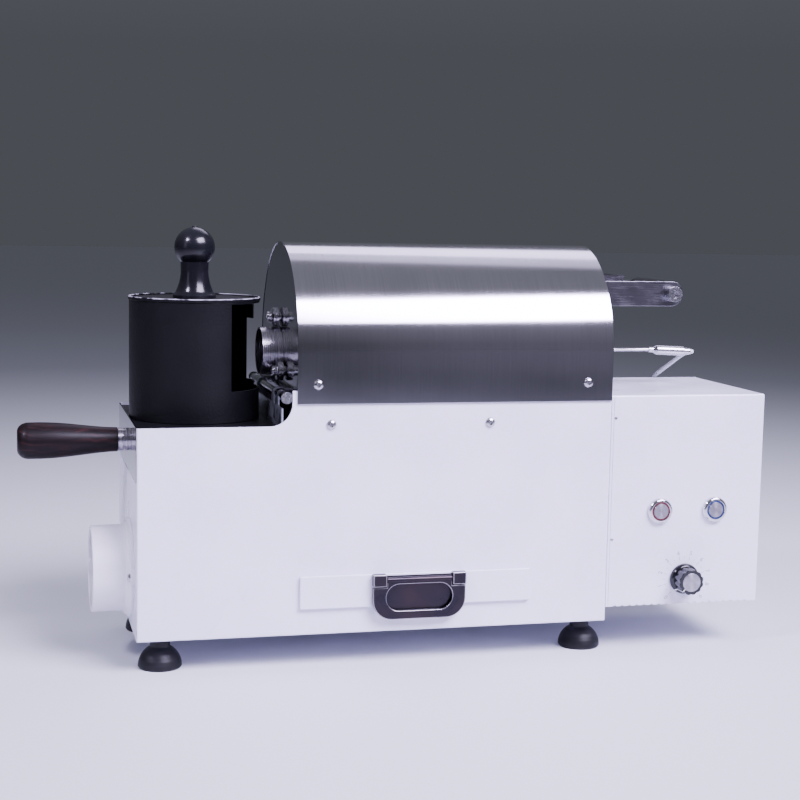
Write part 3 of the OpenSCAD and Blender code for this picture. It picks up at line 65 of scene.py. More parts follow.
yaw, pitch, roll = (math.radians(angle) for angle in (14.437, 6.679, 1.065))
level = Vector((math.cos(yaw), -math.sin(yaw), 0))
forward = Vector((math.sin(yaw) * math.cos(pitch), math.cos(yaw) * math.cos(pitch), -math.sin(pitch)))
upward = level.cross(forward)
camera_right = math.cos(roll) * level + math.sin(roll) * upward
camera_up = math.cos(roll) * upward - math.sin(roll) * level
camera_turn = Matrix((camera_right, camera_up, -forward)).transposed().to_4x4()
camera = bpy.data.objects.new("camera", bpy.data.cameras.new("camera"))
camera.data.sensor_width = 36
camera.data.lens = 71.69
camera.data.clip_end = 60
camera.matrix_world = Matrix.Translation(at(-106.25, -1218.5, 362.3)) @ camera_turn
bpy.context.scene.collection.objects.link(camera)
bpy.context.scene.camera = camera

# ---- Studio lamps ----
# A wide key softbox hangs high at the front right and lays the bright band on the cover. Two weaker
# ones behind light its top, a low one at the front gives the skirt a dim even sheen, and two weak
# ones at the left put the light on the left end and on the knob.


def linear(code):
    """An sRGB hex colour as linear red, green, blue and alpha."""
    channels = [int(code[i:i + 2], 16) / 255 for i in (0, 2, 4)]
    return [c / 12.92 if c <= 0.04045 else ((c + 0.055) / 1.055) ** 2.4 for c in channels] + [1.0]


def softbox(name, place, aim, width, height, power, spread):
    """A rectangular lamp, in metres and watts, that faces the point it is aimed at."""
    lamp = bpy.data.lights.new(name, "AREA")
    lamp.shape = "RECTANGLE"
    lamp.size, lamp.size_y, lamp.energy = width, height, power
    lamp.spread = math.radians(spread)
    lamp.color = linear("e2daff")[:3]
    holder = bpy.data.objects.new(name, lamp)
    holder.location = place
    holder.rotation_euler = (aim - place).to_track_quat("-Z", "Y").to_euler()
    bpy.context.scene.collection.objects.link(holder)


machine_middle = at(230, 60, 277)
softbox("lamp_key", at(1120, -1311, 1747), machine_middle, 1.55, 1.0, 62, 90)
softbox("lamp_back", at(890, 1470, 1837), machine_middle, 1.5, 0.7, 4.6, 100)
softbox("lamp_over", at(780, 1010, 2177), machine_middle, 1.6, 0.6, 1.4, 100)
softbox("lamp_left", at(-1900, -1000, 797), machine_middle, 0.5, 1.1, 0.6, 80)
softbox("lamp_spot", at(-1250, -740, 1622), at(40, 60, 297), 0.32, 0.32, 5, 60)
softbox("lamp_low", at(1280, -1850, 737), at(230, 60, 737), 1.3, 1.42, 0.85, 180)

world = bpy.data.worlds.new("studio")
world.use_nodes = True
world.node_tree.nodes.clear()
bpy.context.scene.world = world

# ---- Table top ----
# A plain pale laminate, matt, its colour painted darker away from the machine: painted shade, as in a dim
# studio.


def new_material(name):
    """A material with nothing in it yet."""
    material = bpy.data.materials.new(name)
    material.use_nodes = True
    material.node_tree.nodes.clear()
    return material


def add_node(material, kind, inputs=None, stops=None, **settings):
    """Adds a node. Its inputs are values, sockets, or nodes that stand for their first output; its
    stops are the places and hex colours of a colour ramp; settings are its other properties."""
    node = material.node_tree.nodes.new(kind)
    for name, value in settings.items():
        setattr(node, name, value)
    for name, value in (inputs or {}).items():
        if isinstance(value, bpy.types.Node):
            value = value.outputs[0]
        if isinstance(value, bpy.types.NodeSocket):
            material.node_tree.links.new(value, node.inputs[name])
        else:
            node.inputs[name].default_value = value
    for i, (place, colour) in enumerate(stops or []):
        elements = node.color_ramp.elements
        element = elements[i] if i < 2 else elements.new(place)
        element.position, element.color = place, linear(colour)
    return node


# laminate with a soft shine; its colour carries painted shade, darker along a ramp from the machine's middle
# to 4 m away
table_top = new_material("pale_laminate_table")
place = add_node(table_top, "ShaderNodeTexCoord").outputs["Object"]
near = add_node(table_top, "ShaderNodeMapping", {"Vector": place, "Scale": (0.25, 0.25, 0.25)})
reach = add_node(table_top, "ShaderNodeVectorMath", {0: near}, operation="LENGTH")
# painted shade: the laminate's pale colour turns grey with distance from the machine
colour = add_node(table_top, "ShaderNodeValToRGB", {0: reach.outputs["Value"]},
                  [(0.14, "d2d4da"), (0.6, "8e9096")])
shader = add_node(table_top, "ShaderNodeBsdfPrincipled", {"Base Color": colour, "Roughness": 0.6})
add_node(table_top, "ShaderNodeOutputMaterial", {"Surface": shader})

# the room: dim at the height of the table and paler overhead
sky = add_node(world, "ShaderNodeTexCoord").outputs["Generated"]
rise = add_node(world, "ShaderNodeSeparateXYZ", {0: sky}).outputs["Z"]
tone = add_node(world, "ShaderNodeValToRGB", {0: rise}, [(0.1, "4d4f55"), (0.9, "9496a0")])
glow = add_node(world, "ShaderNodeBackground", {"Color": tone})
add_node(world, "ShaderNodeOutputWorld", {"Surface": glow})

FLOOR_REACH = 14
floor_mesh = bmesh.new()
bmesh.ops.create_grid(floor_mesh, x_segments=1, y_segments=1, size=FLOOR_REACH)
floor_data = bpy.data.meshes.new("floor")
floor_mesh.to_mesh(floor_data)
floor_data.materials.append(table_top)
floor = bpy.data.objects.new("floor", floor_data)
bpy.context.scene.collection.objects.link(floor)

# ---- Painted body ----
# Folded steel sheet 1.5 mm thick with a glossy cool white powder coat, baked on, which rounds
# the cut edges a little. The front panel laps over the ends and steps down beside the hood.
BODY_LENGTH, WELL_TOP, WALL_TOP = 388, 195, 223
STEP_X, STEP_RADIUS, SHEET = 121, 18, 1.5
SHARP_FROM, CREASE_FROM = math.radians(40), math.radians(32)

# powder coat, sprayed and baked: a glossy skin with a faint orange peel 1.6 mm across
powder_coat = new_material("powder_coat_white")
place = add_node(powder_coat, "ShaderNodeTexCoord").outputs["Object"]
peel = add_node(powder_coat, "ShaderNodeTexNoise", {"Vector": place, "Scale": 1000 / 1.6, "Detail": 2.0})
cloud = add_node(powder_coat, "ShaderNodeTexNoise", {"Vector": place, "Scale": 1000 / 70, "Detail": 3.0})
colour = add_node(powder_coat, "ShaderNodeValToRGB", {0: cloud}, [(0.3, "dcdaec"), (0.7, "e6e4f6")])
gloss = add_node(powder_coat, "ShaderNodeMapRange", {"Value": cloud, "From Min": 0.3, "From Max": 0.7,
                                                     "To Min": 0.24, "To Max": 0.34})
skin = add_node(powder_coat, "ShaderNodeBump", {"Height": peel, "Distance": 0.00002, "Strength": 0.3})
shader = add_node(powder_coat, "ShaderNodeBsdfPrincipled", {
    "Base Color": colour, "Roughness": gloss, "Normal": skin, "Coat Weight": 0.25, "Coat Roughness": 0.12})
add_node(powder_coat, "ShaderNodeOutputMaterial", {"Surface": shader})


def plate(outlines, depth):
    """A flat plate from an outline and its holes, each a list of places, with its depth as a vector."""
    bm = bmesh.new()
    edges = []
    for outline in outlines:
        ring = [bm.verts.new(p) for p in outline]
        edges += [bm.edges.new(pair) for pair in zip(ring, ring[1:] + ring[:1])]
    bmesh.ops.triangle_fill(bm, edges=edges, use_beauty=True)
    bmesh.ops.dissolve_limit(bm, angle_limit=0.01, verts=bm.verts, edges=bm.edges, delimit=set())
    grown = bmesh.ops.extrude_face_region(bm, geom=bm.faces[:])
    bmesh.ops.translate(bm, vec=depth, verts=[v for v in grown["geom"] if isinstance(v, bmesh.types.BMVert)])
    bmesh.ops.recalc_face_normals(bm, faces=bm.faces)
    return bm


def soften(bm, width, segments=2, chosen=None, finish=0):
    """Rounds the sharp edges of a mesh by a width in millimetres, or only the chosen ones, and
    gives the rounding one of the piece's finishes."""
    sharp = [e for e in bm.edges if e.is_manifold and e.calc_face_angle() > SHARP_FROM
             and (chosen is None or chosen(e.verts[0].co, e.verts[1].co))]
    rounded = bmesh.ops.bevel(bm, geom=sharp, offset=width / 1000, offset_type="OFFSET", affect="EDGES",
                              segments=segments, profile=0.5, material=-1, clamp_overlap=True)
    for face in rounded["faces"]:
        face.material_index = finish
    return bm


def arc(middle, radius, start, end, steps):
    """Points on an arc in two dimensions, in degrees from the first axis."""
    turns = [math.radians(start + (end - start) * i / steps) for i in range(steps + 1)]
    return [(middle[0] + radius * math.cos(t), middle[1] + radius * math.sin(t)) for t in turns]


def make_piece(name, bm, material, body, slot, *stands_for):
    """Turns a mesh into a piece that rides on a body and stands for CAD nodes."""
    mesh = bpy.data.meshes.new(name)
    bm.to_mesh(mesh)
    bm.free()
    mesh.shade_smooth()
    mesh.set_sharp_from_angle(angle=CREASE_FROM)
    for finish in material if isinstance(material, list) else [material]:
        mesh.materials.append(finish)
    made = bpy.data.objects.new(name, mesh)
    bpy.context.scene.collection.objects.link(made)
    # large faces keep their own normals beside small rounded edges
    made.modifiers.new("even", "WEIGHTED_NORMAL").keep_sharp = True
    made.data = bpy.data.meshes.new_from_object(made.evaluated_get(bpy.context.evaluated_depsgraph_get()))
    made.modifiers.clear()
    bpy.data.meshes.remove(mesh)
    if body:
        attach(made, body)
    if stands_for:
        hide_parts(*stands_for)
    return made


def paint(material, *nodes):
    """Gives CAD nodes a material."""
    for name in nodes:
        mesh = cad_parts[name].data
        mesh.materials.clear()
        mesh.materials.append(material)


def is_outer_front(a, b):
    """An edge of the front panel's face along its ends or its foot."""
    flat = max(a.y, b.y) < at(0, 0.1, 0).y
    ends = abs(a.x - b.x) < 1e-5 and (a.x < at(1, 0, 0).x or a.x > at(BODY_LENGTH - 1, 0, 0).x)
    return flat and (ends or max(a.z, b.z) < at(0, 0, BODY_LOW + 1).z)


step = arc((STEP_X - STEP_RADIUS, WELL_TOP + STEP_RADIUS), STEP_RADIUS, 0, -90, 12)
front_outline = [(0, BODY_LOW), (BODY_LENGTH, BODY_LOW), (BODY_LENGTH, WALL_TOP), (STEP_X, WALL_TOP)]
front_outline += step + [(0, WELL_TOP)]
tray_slot = [(131.8, 52.5), (316.3, 52.5), (316.3, 71), (131.8, 71)]
front_rings = [[at(x, 0, z) for x, z in line] for line in (front_outline, tray_slot)]
front = plate(front_rings, Vector((0, SHEET / 1000, 0)))
soften(front, 1.3, 4, is_outer_front)
soften(front, 0.3, 2)
make_piece("front_sheet", front, powder_coat, "root", "white_enamel", "front_panel")
paint(powder_coat, "rear_panel", "base_tray", "left_end_panel", "control_chassis")

# ---- Rubber feet ----
# Four domed feet of black moulded rubber, each held by a screw up through its middle.

# moulded rubber: matt and nearly black, with fine dust and a soft grain 2 mm across
rubber = new_material("moulded_black_rubber")
place = add_node(rubber, "ShaderNodeTexCoord").outputs["Object"]
dust = add_node(rubber, "ShaderNodeTexNoise", {"Vector": place, "Scale": 1000 / 12, "Detail": 6.0})
grain = add_node(rubber, "ShaderNodeTexNoise", {"Vector": place, "Scale": 1000 / 2, "Detail": 3.0})
colour = add_node(rubber, "ShaderNodeValToRGB", {0: dust}, [(0.4, "0b0b0e"), (0.75, "18181c")])
skin = add_node(rubber, "ShaderNodeBump", {"Height": grain, "Distance": 0.00006, "Strength": 0.4})
shader = add_node(rubber, "ShaderNodeBsdfPrincipled", {
    "Base Color": colour, "Roughness": 0.45, "Normal": skin, "Specular IOR Level": 0.25})
add_node(rubber, "ShaderNodeOutputMaterial", {"Surface": shader})
paint(rubber, "rubber_feet")

# ---- Screws and hinge ----
# Pan-head screws with cross recesses, the hinge pin and the handle's bolt are bright steel, turned
# and rolled on a machine and then nickel plated, so they have small strong glints.

# nickel-plated steel: bright, with faint tool marks 0.8 mm apart
plated = new_material("nickel_plated_steel")
place = add_node(plated, "ShaderNodeTexCoord").outputs["Object"]
marks = add_node(plated, "ShaderNodeTexNoise", {"Vector": place, "Scale": 1000 / 0.8, "Detail": 3.0})
colour = add_node(plated, "ShaderNodeValToRGB", {0: marks}, [(0.3, "a9a6ad"), (0.7, "d2d0d6")])
gloss = add_node(plated, "ShaderNodeMapRange", {"Value": marks, "From Min": 0.3, "From Max": 0.7,
                                                "To Min": 0.16, "To Max": 0.3})
shader = add_node(plated, "ShaderNodeBsdfPrincipled", {
    "Base Color": colour, "Metallic": 1.0, "Roughness": gloss})
add_node(plated, "ShaderNodeOutputMaterial", {"Surface": shader})
paint(plated, "body_screws", "cover_screws", "hinge_pin", "handle_bolt")

# ---- Galvanised sheet inside the body ----
# The partition that carries the fixed hinge knuckles, the tray's and drawer's runners and the blower
# housing are hot-dip galvanised steel, cut and folded without paint.

# galvanised steel: dull grey-blue spangles about 7 mm across, each at its own tilt
galvanised = new_material("galvanised_sheet_steel")
place = add_node(galvanised, "ShaderNodeTexCoord").outputs["Object"]
spangle = add_node(galvanised, "ShaderNodeTexVoronoi", {"Vector": place, "Scale": 1000 / 7}, feature="F1")
tint = add_node(galvanised, "ShaderNodeSeparateColor", {0: spangle.outputs["Color"]})
colour = add_node(galvanised, "ShaderNodeValToRGB", {0: tint}, [(0.0, "94979f"), (1.0, "b9bcc4")])
gloss = add_node(galvanised, "ShaderNodeMapRange", {"Value": tint, "To Min": 0.32, "To Max": 0.5})
shader = add_node(galvanised, "ShaderNodeBsdfPrincipled", {
    "Base Color": colour, "Metallic": 1.0, "Roughness": gloss})
add_node(galvanised, "ShaderNodeOutputMaterial", {"Surface": shader})
paint(galvanised, "partition", "runners", "blower_housing")

# ---- Smoke hood ----
# A lift-off chimney of rolled 1.5 mm steel under a lid with a raised rim, with a window cut towards
# the drum's neck, sprayed with the same heat-proof leather-grain black as the deck below it.
HOOD_X, MIDDLE_Y, HOOD_RADIUS, HOOD_WALL = 54.4, 85.5, 53, 1.5
# foot of the wall, sill of the window, foot and top of the notch, top of the window, top of the wall
HOOD_LEVELS = (193.3, 218.3, 222, 273, 287.8, 289.4)
# how far the window and the drum neck's notch reach round, in degrees from the right to the back
WINDOW_BEARINGS, NOTCH_BEARINGS, HOOD_STEPS = (-63, 15), (0, 27), 120

# leather-grain powder: satin black pebbles 2.2 mm across; the lid's rim is worn to a grey which is
# also a painted highlight along its top
leather_black = new_material("leather_grain_black_powder")
place = add_node(leather_black, "ShaderNodeTexCoord").outputs["Object"]
pebbles = add_node(leather_black, "ShaderNodeTexNoise", {"Vector": place, "Scale": 1000 / 2.2, "Detail": 2.0})
patches = add_node(leather_black, "ShaderNodeTexNoise", {"Vector": place, "Scale": 1000 / 35, "Detail": 4.0})
scuffs = add_node(leather_black, "ShaderNodeTexNoise", {"Vector": place, "Scale": 1000 / 9, "Detail": 5.0})
height = add_node(leather_black, "ShaderNodeSeparateXYZ", {0: place}).outputs["Z"]
rim = add_node(leather_black, "ShaderNodeMapRange", {"Value": height, "From Min": at(0, 0, 290.8).z,
                                                     "From Max": at(0, 0, 291.8).z})
# the rim's top millimetre turns light grey in scuffs: partly wear, partly a painted highlight where the rim
# catches the light
rim_wear_and_highlight = add_node(leather_black, "ShaderNodeMath", {0: rim, 1: scuffs}, operation="MULTIPLY")
colour = add_node(leather_black, "ShaderNodeValToRGB", {0: rim_wear_and_highlight}, [(0.4, "0b0b0e"), (0.55, "a5a3ad")])
gloss = add_node(leather_black, "ShaderNodeMapRange", {"Value": patches, "From Min": 0.3, "From Max": 0.7,
                                                       "To Min": 0.36, "To Max": 0.46})
skin = add_node(leather_black, "ShaderNodeBump", {"Height": pebbles, "Distance": 0.0004, "Strength": 0.6})
shader = add_node(leather_black, "ShaderNodeBsdfPrincipled", {"Base Color": colour, "Roughness": gloss,
                                                              "Normal": skin, "Specular IOR Level": 0.18})
add_node(leather_black, "ShaderNodeOutputMaterial", {"Surface": shader})


def turned(profile, foot, axis, steps=72):
    """A turned shape from pairs of radius and distance along its axis, in millimetres. Its points
    keep their place from the foot of the axis, for finishes that run round it."""
    bm = bmesh.new()
    axis = Vector(axis).normalized()
    outward = axis.orthogonal().normalized()
    line = [bm.verts.new(foot + (outward * r + axis * h) / 1000) for r, h in profile]
    edges = [bm.edges.new(pair) for pair in zip(line, line[1:])]
    bmesh.ops.spin(bm, geom=line + edges, cent=foot, axis=axis, angle=2 * math.pi, steps=steps,
                   use_merge=True)
    bmesh.ops.remove_doubles(bm, verts=bm.verts, dist=1e-6)
    bmesh.ops.recalc_face_normals(bm, faces=bm.faces)
    spot = bm.verts.layers.float_vector.new("from_axis")
    for v in bm.verts:
        v[spot] = v.co - foot
    return bm


def join(bm, *others):
    """Adds other meshes to a mesh."""
    for other in others:
        carrier = bpy.data.meshes.new("carrier")
        other.to_mesh(carrier)
        other.free()
        bm.from_mesh(carrier)
        bpy.data.meshes.remove(carrier)
    return bm


hood = bmesh.new()
seam = [hood.verts.new(at(HOOD_X - HOOD_RADIUS, MIDDLE_Y, z)) for z in HOOD_LEVELS]
seam_edges = [hood.edges.new(pair) for pair in zip(seam, seam[1:])]
bmesh.ops.spin(hood, geom=seam + seam_edges, cent=at(HOOD_X, MIDDLE_Y, 0), axis=(0, 0, 1), angle=2 * math.pi,
               steps=HOOD_STEPS, use_merge=True)
bmesh.ops.remove_doubles(hood, verts=hood.verts, dist=1e-6)
bmesh.ops.recalc_face_normals(hood, faces=hood.faces)
window = []
for face in hood.faces:
    outward = face.calc_center_median() - at(HOOD_X, MIDDLE_Y, 0)
    height = 1000 * outward.z
    bearing = math.degrees(math.atan2(outward.y, outward.x))
    in_window = WINDOW_BEARINGS[0] < bearing < WINDOW_BEARINGS[1]
    in_notch = NOTCH_BEARINGS[0] < bearing < NOTCH_BEARINGS[1]
    if (in_window and HOOD_LEVELS[1] < height < HOOD_LEVELS[4]
            or in_notch and HOOD_LEVELS[2] < height < HOOD_LEVELS[3]):
        window.append(face)
bmesh.ops.delete(hood, geom=window, context="FACES")
bmesh.ops.solidify(hood, geom=hood.faces[:], thickness=HOOD_WALL / 1000)
soften(hood, 0.4)
lid = turned([(0, 289.3), (53, 289.3), (53.6, 289.6), (53.6, 291.9), (53.2, 292.3), (52.2, 292.3),
              (51.8, 291.9), (51.8, 290.9), (0, 290.9)], at(HOOD_X, MIDDLE_Y, 0), (0, 0, 1), HOOD_STEPS)
make_piece("hood_shell", join(hood, lid), leather_black, "hood", "black_wrinkle", "smoke_hood")
paint(leather_black, "well_deck")

# ---- Ball knob ----
# A moulded phenolic ball on a flared neck, screwed down through the lid with a stud.
KNOB_SEAT, BALL_RADIUS, BALL_Z, NECK_RADIUS = 290.9, 16.5, 332, 11.3

# moulded phenolic: satin black with the faintest cloud, polished by hands
phenolic = new_material("moulded_black_phenolic")
place = add_node(phenolic, "ShaderNodeTexCoord").outputs["Object"]
cloud = add_node(phenolic, "ShaderNodeTexNoise", {"Vector": place, "Scale": 1000 / 14, "Detail": 4.0})
colour = add_node(phenolic, "ShaderNodeValToRGB", {0: cloud}, [(0.3, "0d0d11"), (0.7, "15151a")])
gloss = add_node(phenolic, "ShaderNodeMapRange", {"Value": cloud, "From Min": 0.3, "From Max": 0.7,
                                                  "To Min": 0.16, "To Max": 0.24})
shader = add_node(phenolic, "ShaderNodeBsdfPrincipled", {"Base Color": colour, "Roughness": gloss,
                                                         "Specular IOR Level": 0.35})
add_node(phenolic, "ShaderNodeOutputMaterial", {"Surface": shader})


def round_bar(radius, start, end, foot, axis, steps):
    """A plain round bar between two distances along its axis. With six steps it is a hexagon."""
    return turned([(0, start), (radius, start), (radius, end), (0, end)], foot, axis, steps)


knob_line = [(0, KNOB_SEAT), (17.2, KNOB_SEAT), (17.6, KNOB_SEAT + 0.4), (17.6, KNOB_SEAT + 2.2),
             (17.2, KNOB_SEAT + 2.8), (15.6, KNOB_SEAT + 4.4)]
knob_line += [(NECK_RADIUS + 4.3 * (1 - i / 12) ** 2, KNOB_SEAT + 4.4 + 17.6 * i / 12) for i in range(1, 13)]
knob_line += arc((0, BALL_Z), BALL_RADIUS, -46, 82, 32)
knob_line += [(2.2, BALL_Z + BALL_RADIUS + 0.35), (1.6, BALL_Z + BALL_RADIUS + 0.6),
              (0, BALL_Z + BALL_RADIUS + 0.6)]
knob = turned(knob_line, at(HOOD_X, MIDDLE_Y, 0), (0, 0, 1))
stud = round_bar(3, 282.9, 291.5, at(HOOD_X, MIDDLE_Y, 0), (0, 0, 1), 32)
nut = round_bar(6, 283.8, 287.8, at(HOOD_X, MIDDLE_Y, 0), (0, 0, 1), 6)
make_piece("ball_handle", join(knob, stud, nut), phenolic, "hood", "black_phenolic", "ball_knob")

# ---- Polished sheet: drawer end and the head's left end plate ----
# Stainless sheet with a mirror finish from the mill, its cut edges broken, so they catch the light.

# mirror-finished stainless: clear dark reflections with a faint haze from wiping, 30 mm across
mirror_steel = new_material("mirror_stainless_sheet")
place = add_node(mirror_steel, "ShaderNodeTexCoord").outputs["Object"]
haze = add_node(mirror_steel, "ShaderNodeTexNoise", {"Vector": place, "Scale": 1000 / 30, "Detail": 4.0})
gloss = add_node(mirror_steel, "ShaderNodeMapRange", {"Value": haze, "From Min": 0.35, "From Max": 0.7,
                                                      "To Min": 0.05, "To Max": 0.13})
shader = add_node(mirror_steel, "ShaderNodeBsdfPrincipled", {
    "Base Color": linear("a5a3ac"), "Metallic": 1.0, "Roughness": gloss})
add_node(mirror_steel, "ShaderNodeOutputMaterial", {"Surface": shader})
paint(mirror_steel, "left_end_plate")


def cuboid(low, high):
    """A sharp-edged block between two opposite corners."""
    bm = bmesh.new()
    stretch = Matrix.Diagonal((*(high - low), 1))
    bmesh.ops.create_cube(bm, size=1, matrix=Matrix.Translation((low + high) / 2) @ stretch)
    return bm


def block(low, high, width=0.4, segments=2, finish=0):
    """A block between two corners in millimetres, with its edges rounded in one of its finishes."""
    return soften(cuboid(at(*low), at(*high)), width, segments, finish=finish)


make_piece("drawer_end", block((-0.3, 2, 152.5), (0.9, 169, 195), 0.35), mirror_steel, "cooling_drawer",
           "polished_stainless", "drawer_plate")

# ---- Drawer handle ----
# A turned rosewood grip with a domed end, oiled and rubbed, on a turned stainless ferrule. One long
# bolt through the plate holds both.
HANDLE_Z, FERRULE_LENGTH, FERRULE_RADIUS = 175, 8, 9.4
GRIP_LENGTH, GRIP_RADIUS, NOSE = 79.5, 14.8, 9

# turned stainless: rings from the lathe tool, 0.5 mm apart, along the part's own axis
turned_steel = new_material("lathe_turned_stainless")
place = add_node(turned_steel, "ShaderNodeTexCoord").outputs["Object"]
along = add_node(turned_steel, "ShaderNodeMapping", {
    "Vector": place, "Scale": (1000 / 0.5, 1000 / 60, 1000 / 60)})
rings = add_node(turned_steel, "ShaderNodeTexNoise", {"Vector": along, "Scale": 1.0, "Detail": 2.0})
colour = add_node(turned_steel, "ShaderNodeValToRGB", {0: rings}, [(0.3, "a19ca5"), (0.7, "bfbac2")])
gloss = add_node(turned_steel, "ShaderNodeMapRange", {"Value": rings, "From Min": 0.3, "From Max": 0.7,
                                                      "To Min": 0.2, "To Max": 0.36})
skin = add_node(turned_steel, "ShaderNodeBump", {"Height": rings, "Distance": 0.000008, "Strength": 0.2})
shader = add_node(turned_steel, "ShaderNodeBsdfPrincipled", {"Base Color": colour, "Metallic": 1.0,
                                                             "Roughness": gloss, "Normal": skin})
add_node(turned_steel, "ShaderNodeOutputMaterial", {"Surface": shader})

ferrule_line = [(4, 0), (9.1, 0), (FERRULE_RADIUS, 0.3), (FERRULE_RADIUS, 2.2), (8.9, 2.6), (8.9, 3.2),
                (FERRULE_RADIUS, 3.6), (FERRULE_RADIUS, 7.4), (8.8, FERRULE_LENGTH),
                (4, FERRULE_LENGTH), (4, 0)]
ferrule = turned(ferrule_line, at(-0.3, MIDDLE_Y, HANDLE_Z), (-1, 0, 0))
make_piece("ferrule", ferrule, turned_steel, "cooling_drawer", "polished_stainless", "handle_ferrule")

# rosewood: nearly black brown with wine-red streaks 3 mm wide and 60 mm long, and a dull oiled sheen
rosewood = new_material("oiled_rosewood")
place = add_node(rosewood, "ShaderNodeTexCoord").outputs["Object"]
drift = add_node(rosewood, "ShaderNodeTexNoise", {"Vector": place, "Scale": 1000 / 28, "Detail": 2.0})
push = add_node(rosewood, "ShaderNodeVectorMath", {0: drift.outputs["Color"], "Scale": 0.014},
                operation="SCALE")
bent = add_node(rosewood, "ShaderNodeVectorMath", {0: place, 1: push}, operation="ADD")
grown = add_node(rosewood, "ShaderNodeMapping", {
    "Vector": bent, "Scale": (1000 / 60, 1000 / 5, 1000 / 2.6)})
streaks = add_node(rosewood, "ShaderNodeTexNoise", {
    "Vector": grown, "Scale": 1.0, "Detail": 5.0, "Roughness": 0.6})
colour = add_node(rosewood, "ShaderNodeValToRGB", {0: streaks},
                  [(0.32, "0a0709"), (0.7, "34191a"), (0.5, "150d0f"), (0.6, "231314")])
pores = add_node(rosewood, "ShaderNodeMapping", {
    "Vector": place, "Scale": (1000 / 9, 1000 / 0.5, 1000 / 0.5)})
pits = add_node(rosewood, "ShaderNodeTexNoise", {"Vector": pores, "Scale": 1.0, "Detail": 1.0})
skin = add_node(rosewood, "ShaderNodeBump", {"Height": pits, "Distance": 0.00003, "Strength": 0.25})
shader = add_node(rosewood, "ShaderNodeBsdfPrincipled", {
    "Base Color": colour, "Roughness": 0.45, "Normal": skin, "Specular IOR Level": 0.12, "Coat Weight": 0.04,
    "Coat Roughness": 0.2})
add_node(rosewood, "ShaderNodeOutputMaterial", {"Surface": shader})

# slim behind the ferrule, full from the middle on, and domed at the nose
straight, slim = GRIP_LENGTH - NOSE, FERRULE_RADIUS + 0.5
grip_line = [(4, 0)]
for i in range(29):
    swell = math.sin(math.radians(90 * min(1, i / 28 * 1.12))) ** 1.7
    grip_line.append((slim + (GRIP_RADIUS - slim) * swell, straight * i / 28))
for turn in (math.radians(angle) for angle in range(8, 89, 8)):
    grip_line.append((GRIP_RADIUS - NOSE * 0.8 * (1 - math.cos(turn)), straight + NOSE * math.sin(turn)))
grip_line.append((0, GRIP_LENGTH))
make_piece("rosewood_handle", turned(grip_line, at(-0.3 - FERRULE_LENGTH, MIDDLE_Y, HANDLE_Z), (-1, 0, 0)),
           rosewood, "cooling_drawer", "rosewood", "wooden_handle")

# ---- Duct collar ----
# A moulded white hose collar with a flange, two screw ears and a guard rib across its mouth, which
# carries the fan's air out to the left.
DUCT_Y, DUCT_Z, DUCT_REACH, DUCT_BORE = 61.75, 73.7, 31.7, 31

# moulded ABS: neutral white, satin, with a fine spark texture 0.9 mm across
abs_white = new_material("moulded_white_abs")
place = add_node(abs_white, "ShaderNodeTexCoord").outputs["Object"]
spark = add_node(abs_white, "ShaderNodeTexNoise", {"Vector": place, "Scale": 1000 / 0.9, "Detail": 1.0})
cloud = add_node(abs_white, "ShaderNodeTexNoise", {"Vector": place, "Scale": 1000 / 30, "Detail": 3.0})
colour = add_node(abs_white, "ShaderNodeValToRGB", {0: cloud}, [(0.3, "e2e0ea"), (0.7, "eceaf2")])
skin = add_node(abs_white, "ShaderNodeBump", {"Height": spark, "Distance": 0.00002, "Strength": 0.3})
shader = add_node(abs_white, "ShaderNodeBsdfPrincipled", {
    "Base Color": colour, "Roughness": 0.38, "Normal": skin, "Subsurface Weight": 0.03,
    "Subsurface Scale": 0.004})
add_node(abs_white, "ShaderNodeOutputMaterial", {"Surface": shader})

collar_line = [(DUCT_BORE, 0), (40, 0), (40.3, 0.3), (40.3, 2.2), (39.1, 3), (38.1, 3.6), (37.4, 5),
               (36.4, 5.4), (35.6, 6), (35.2, 7.2), (34.8, 10), (34.8, 30.9), (34.4, 31.5),
               (33.8, DUCT_REACH), (31.8, DUCT_REACH), (31.2, 31.4), (DUCT_BORE, 30.7), (DUCT_BORE, 0)]
collar = turned(collar_line, at(0, DUCT_Y, DUCT_Z), (-1, 0, 0), 96)
ears = [turned([(0, 0), (6.5, 0), (6.5, 2.6), (6.1, 3), (0, 3)], at(0, DUCT_Y + side, DUCT_Z), (-1, 0, 0), 40)
        for side in (-38, 38)]
rib = block((-30.6, DUCT_Y - 31.6, DUCT_Z - 1.2), (-25.7, DUCT_Y + 31.6, DUCT_Z + 1.2), 0.5)
make_piece("hose_collar", join(collar, rib, *ears), abs_white, "root", "white_plastic", "duct_collar")

# ---- Chaff tray ----
# A folded tray painted like the body. Its front laps over the slot in the panel.
TRAY_LEFT, TRAY_RIGHT, TRAY_LOW, TRAY_HIGH, TRAY_CORNER = 129.3, 318.8, 50, 73.5, 1.5

tray_line = (arc((TRAY_LEFT, TRAY_LOW), TRAY_CORNER, 180, 270, 4)
             + arc((TRAY_RIGHT, TRAY_LOW), TRAY_CORNER, 270, 360, 4)
             + arc((TRAY_RIGHT, TRAY_HIGH), TRAY_CORNER, 0, 90, 4)
             + arc((TRAY_LEFT, TRAY_HIGH), TRAY_CORNER, 90, 180, 4))
tray_front = plate([[at(x, -3.3, z) for x, z in tray_line]], Vector((0, 0.003, 0)))
soften(tray_front, 0.7, 3, lambda a, b: max(a.y, b.y) < at(0, -3.2, 0).y)
tray_box = cuboid(at(132.8, -0.3, 53.5), at(315.3, 148, 70.5))
bmesh.ops.delete(tray_box, geom=[f for f in tray_box.faces if f.normal.z > 0.9], context="FACES")
bmesh.ops.solidify(tray_box, geom=tray_box.faces[:], thickness=0.001)
make_piece("tray", join(tray_front, tray_box), powder_coat, "chaff_drawer", "white_enamel", "chaff_tray")
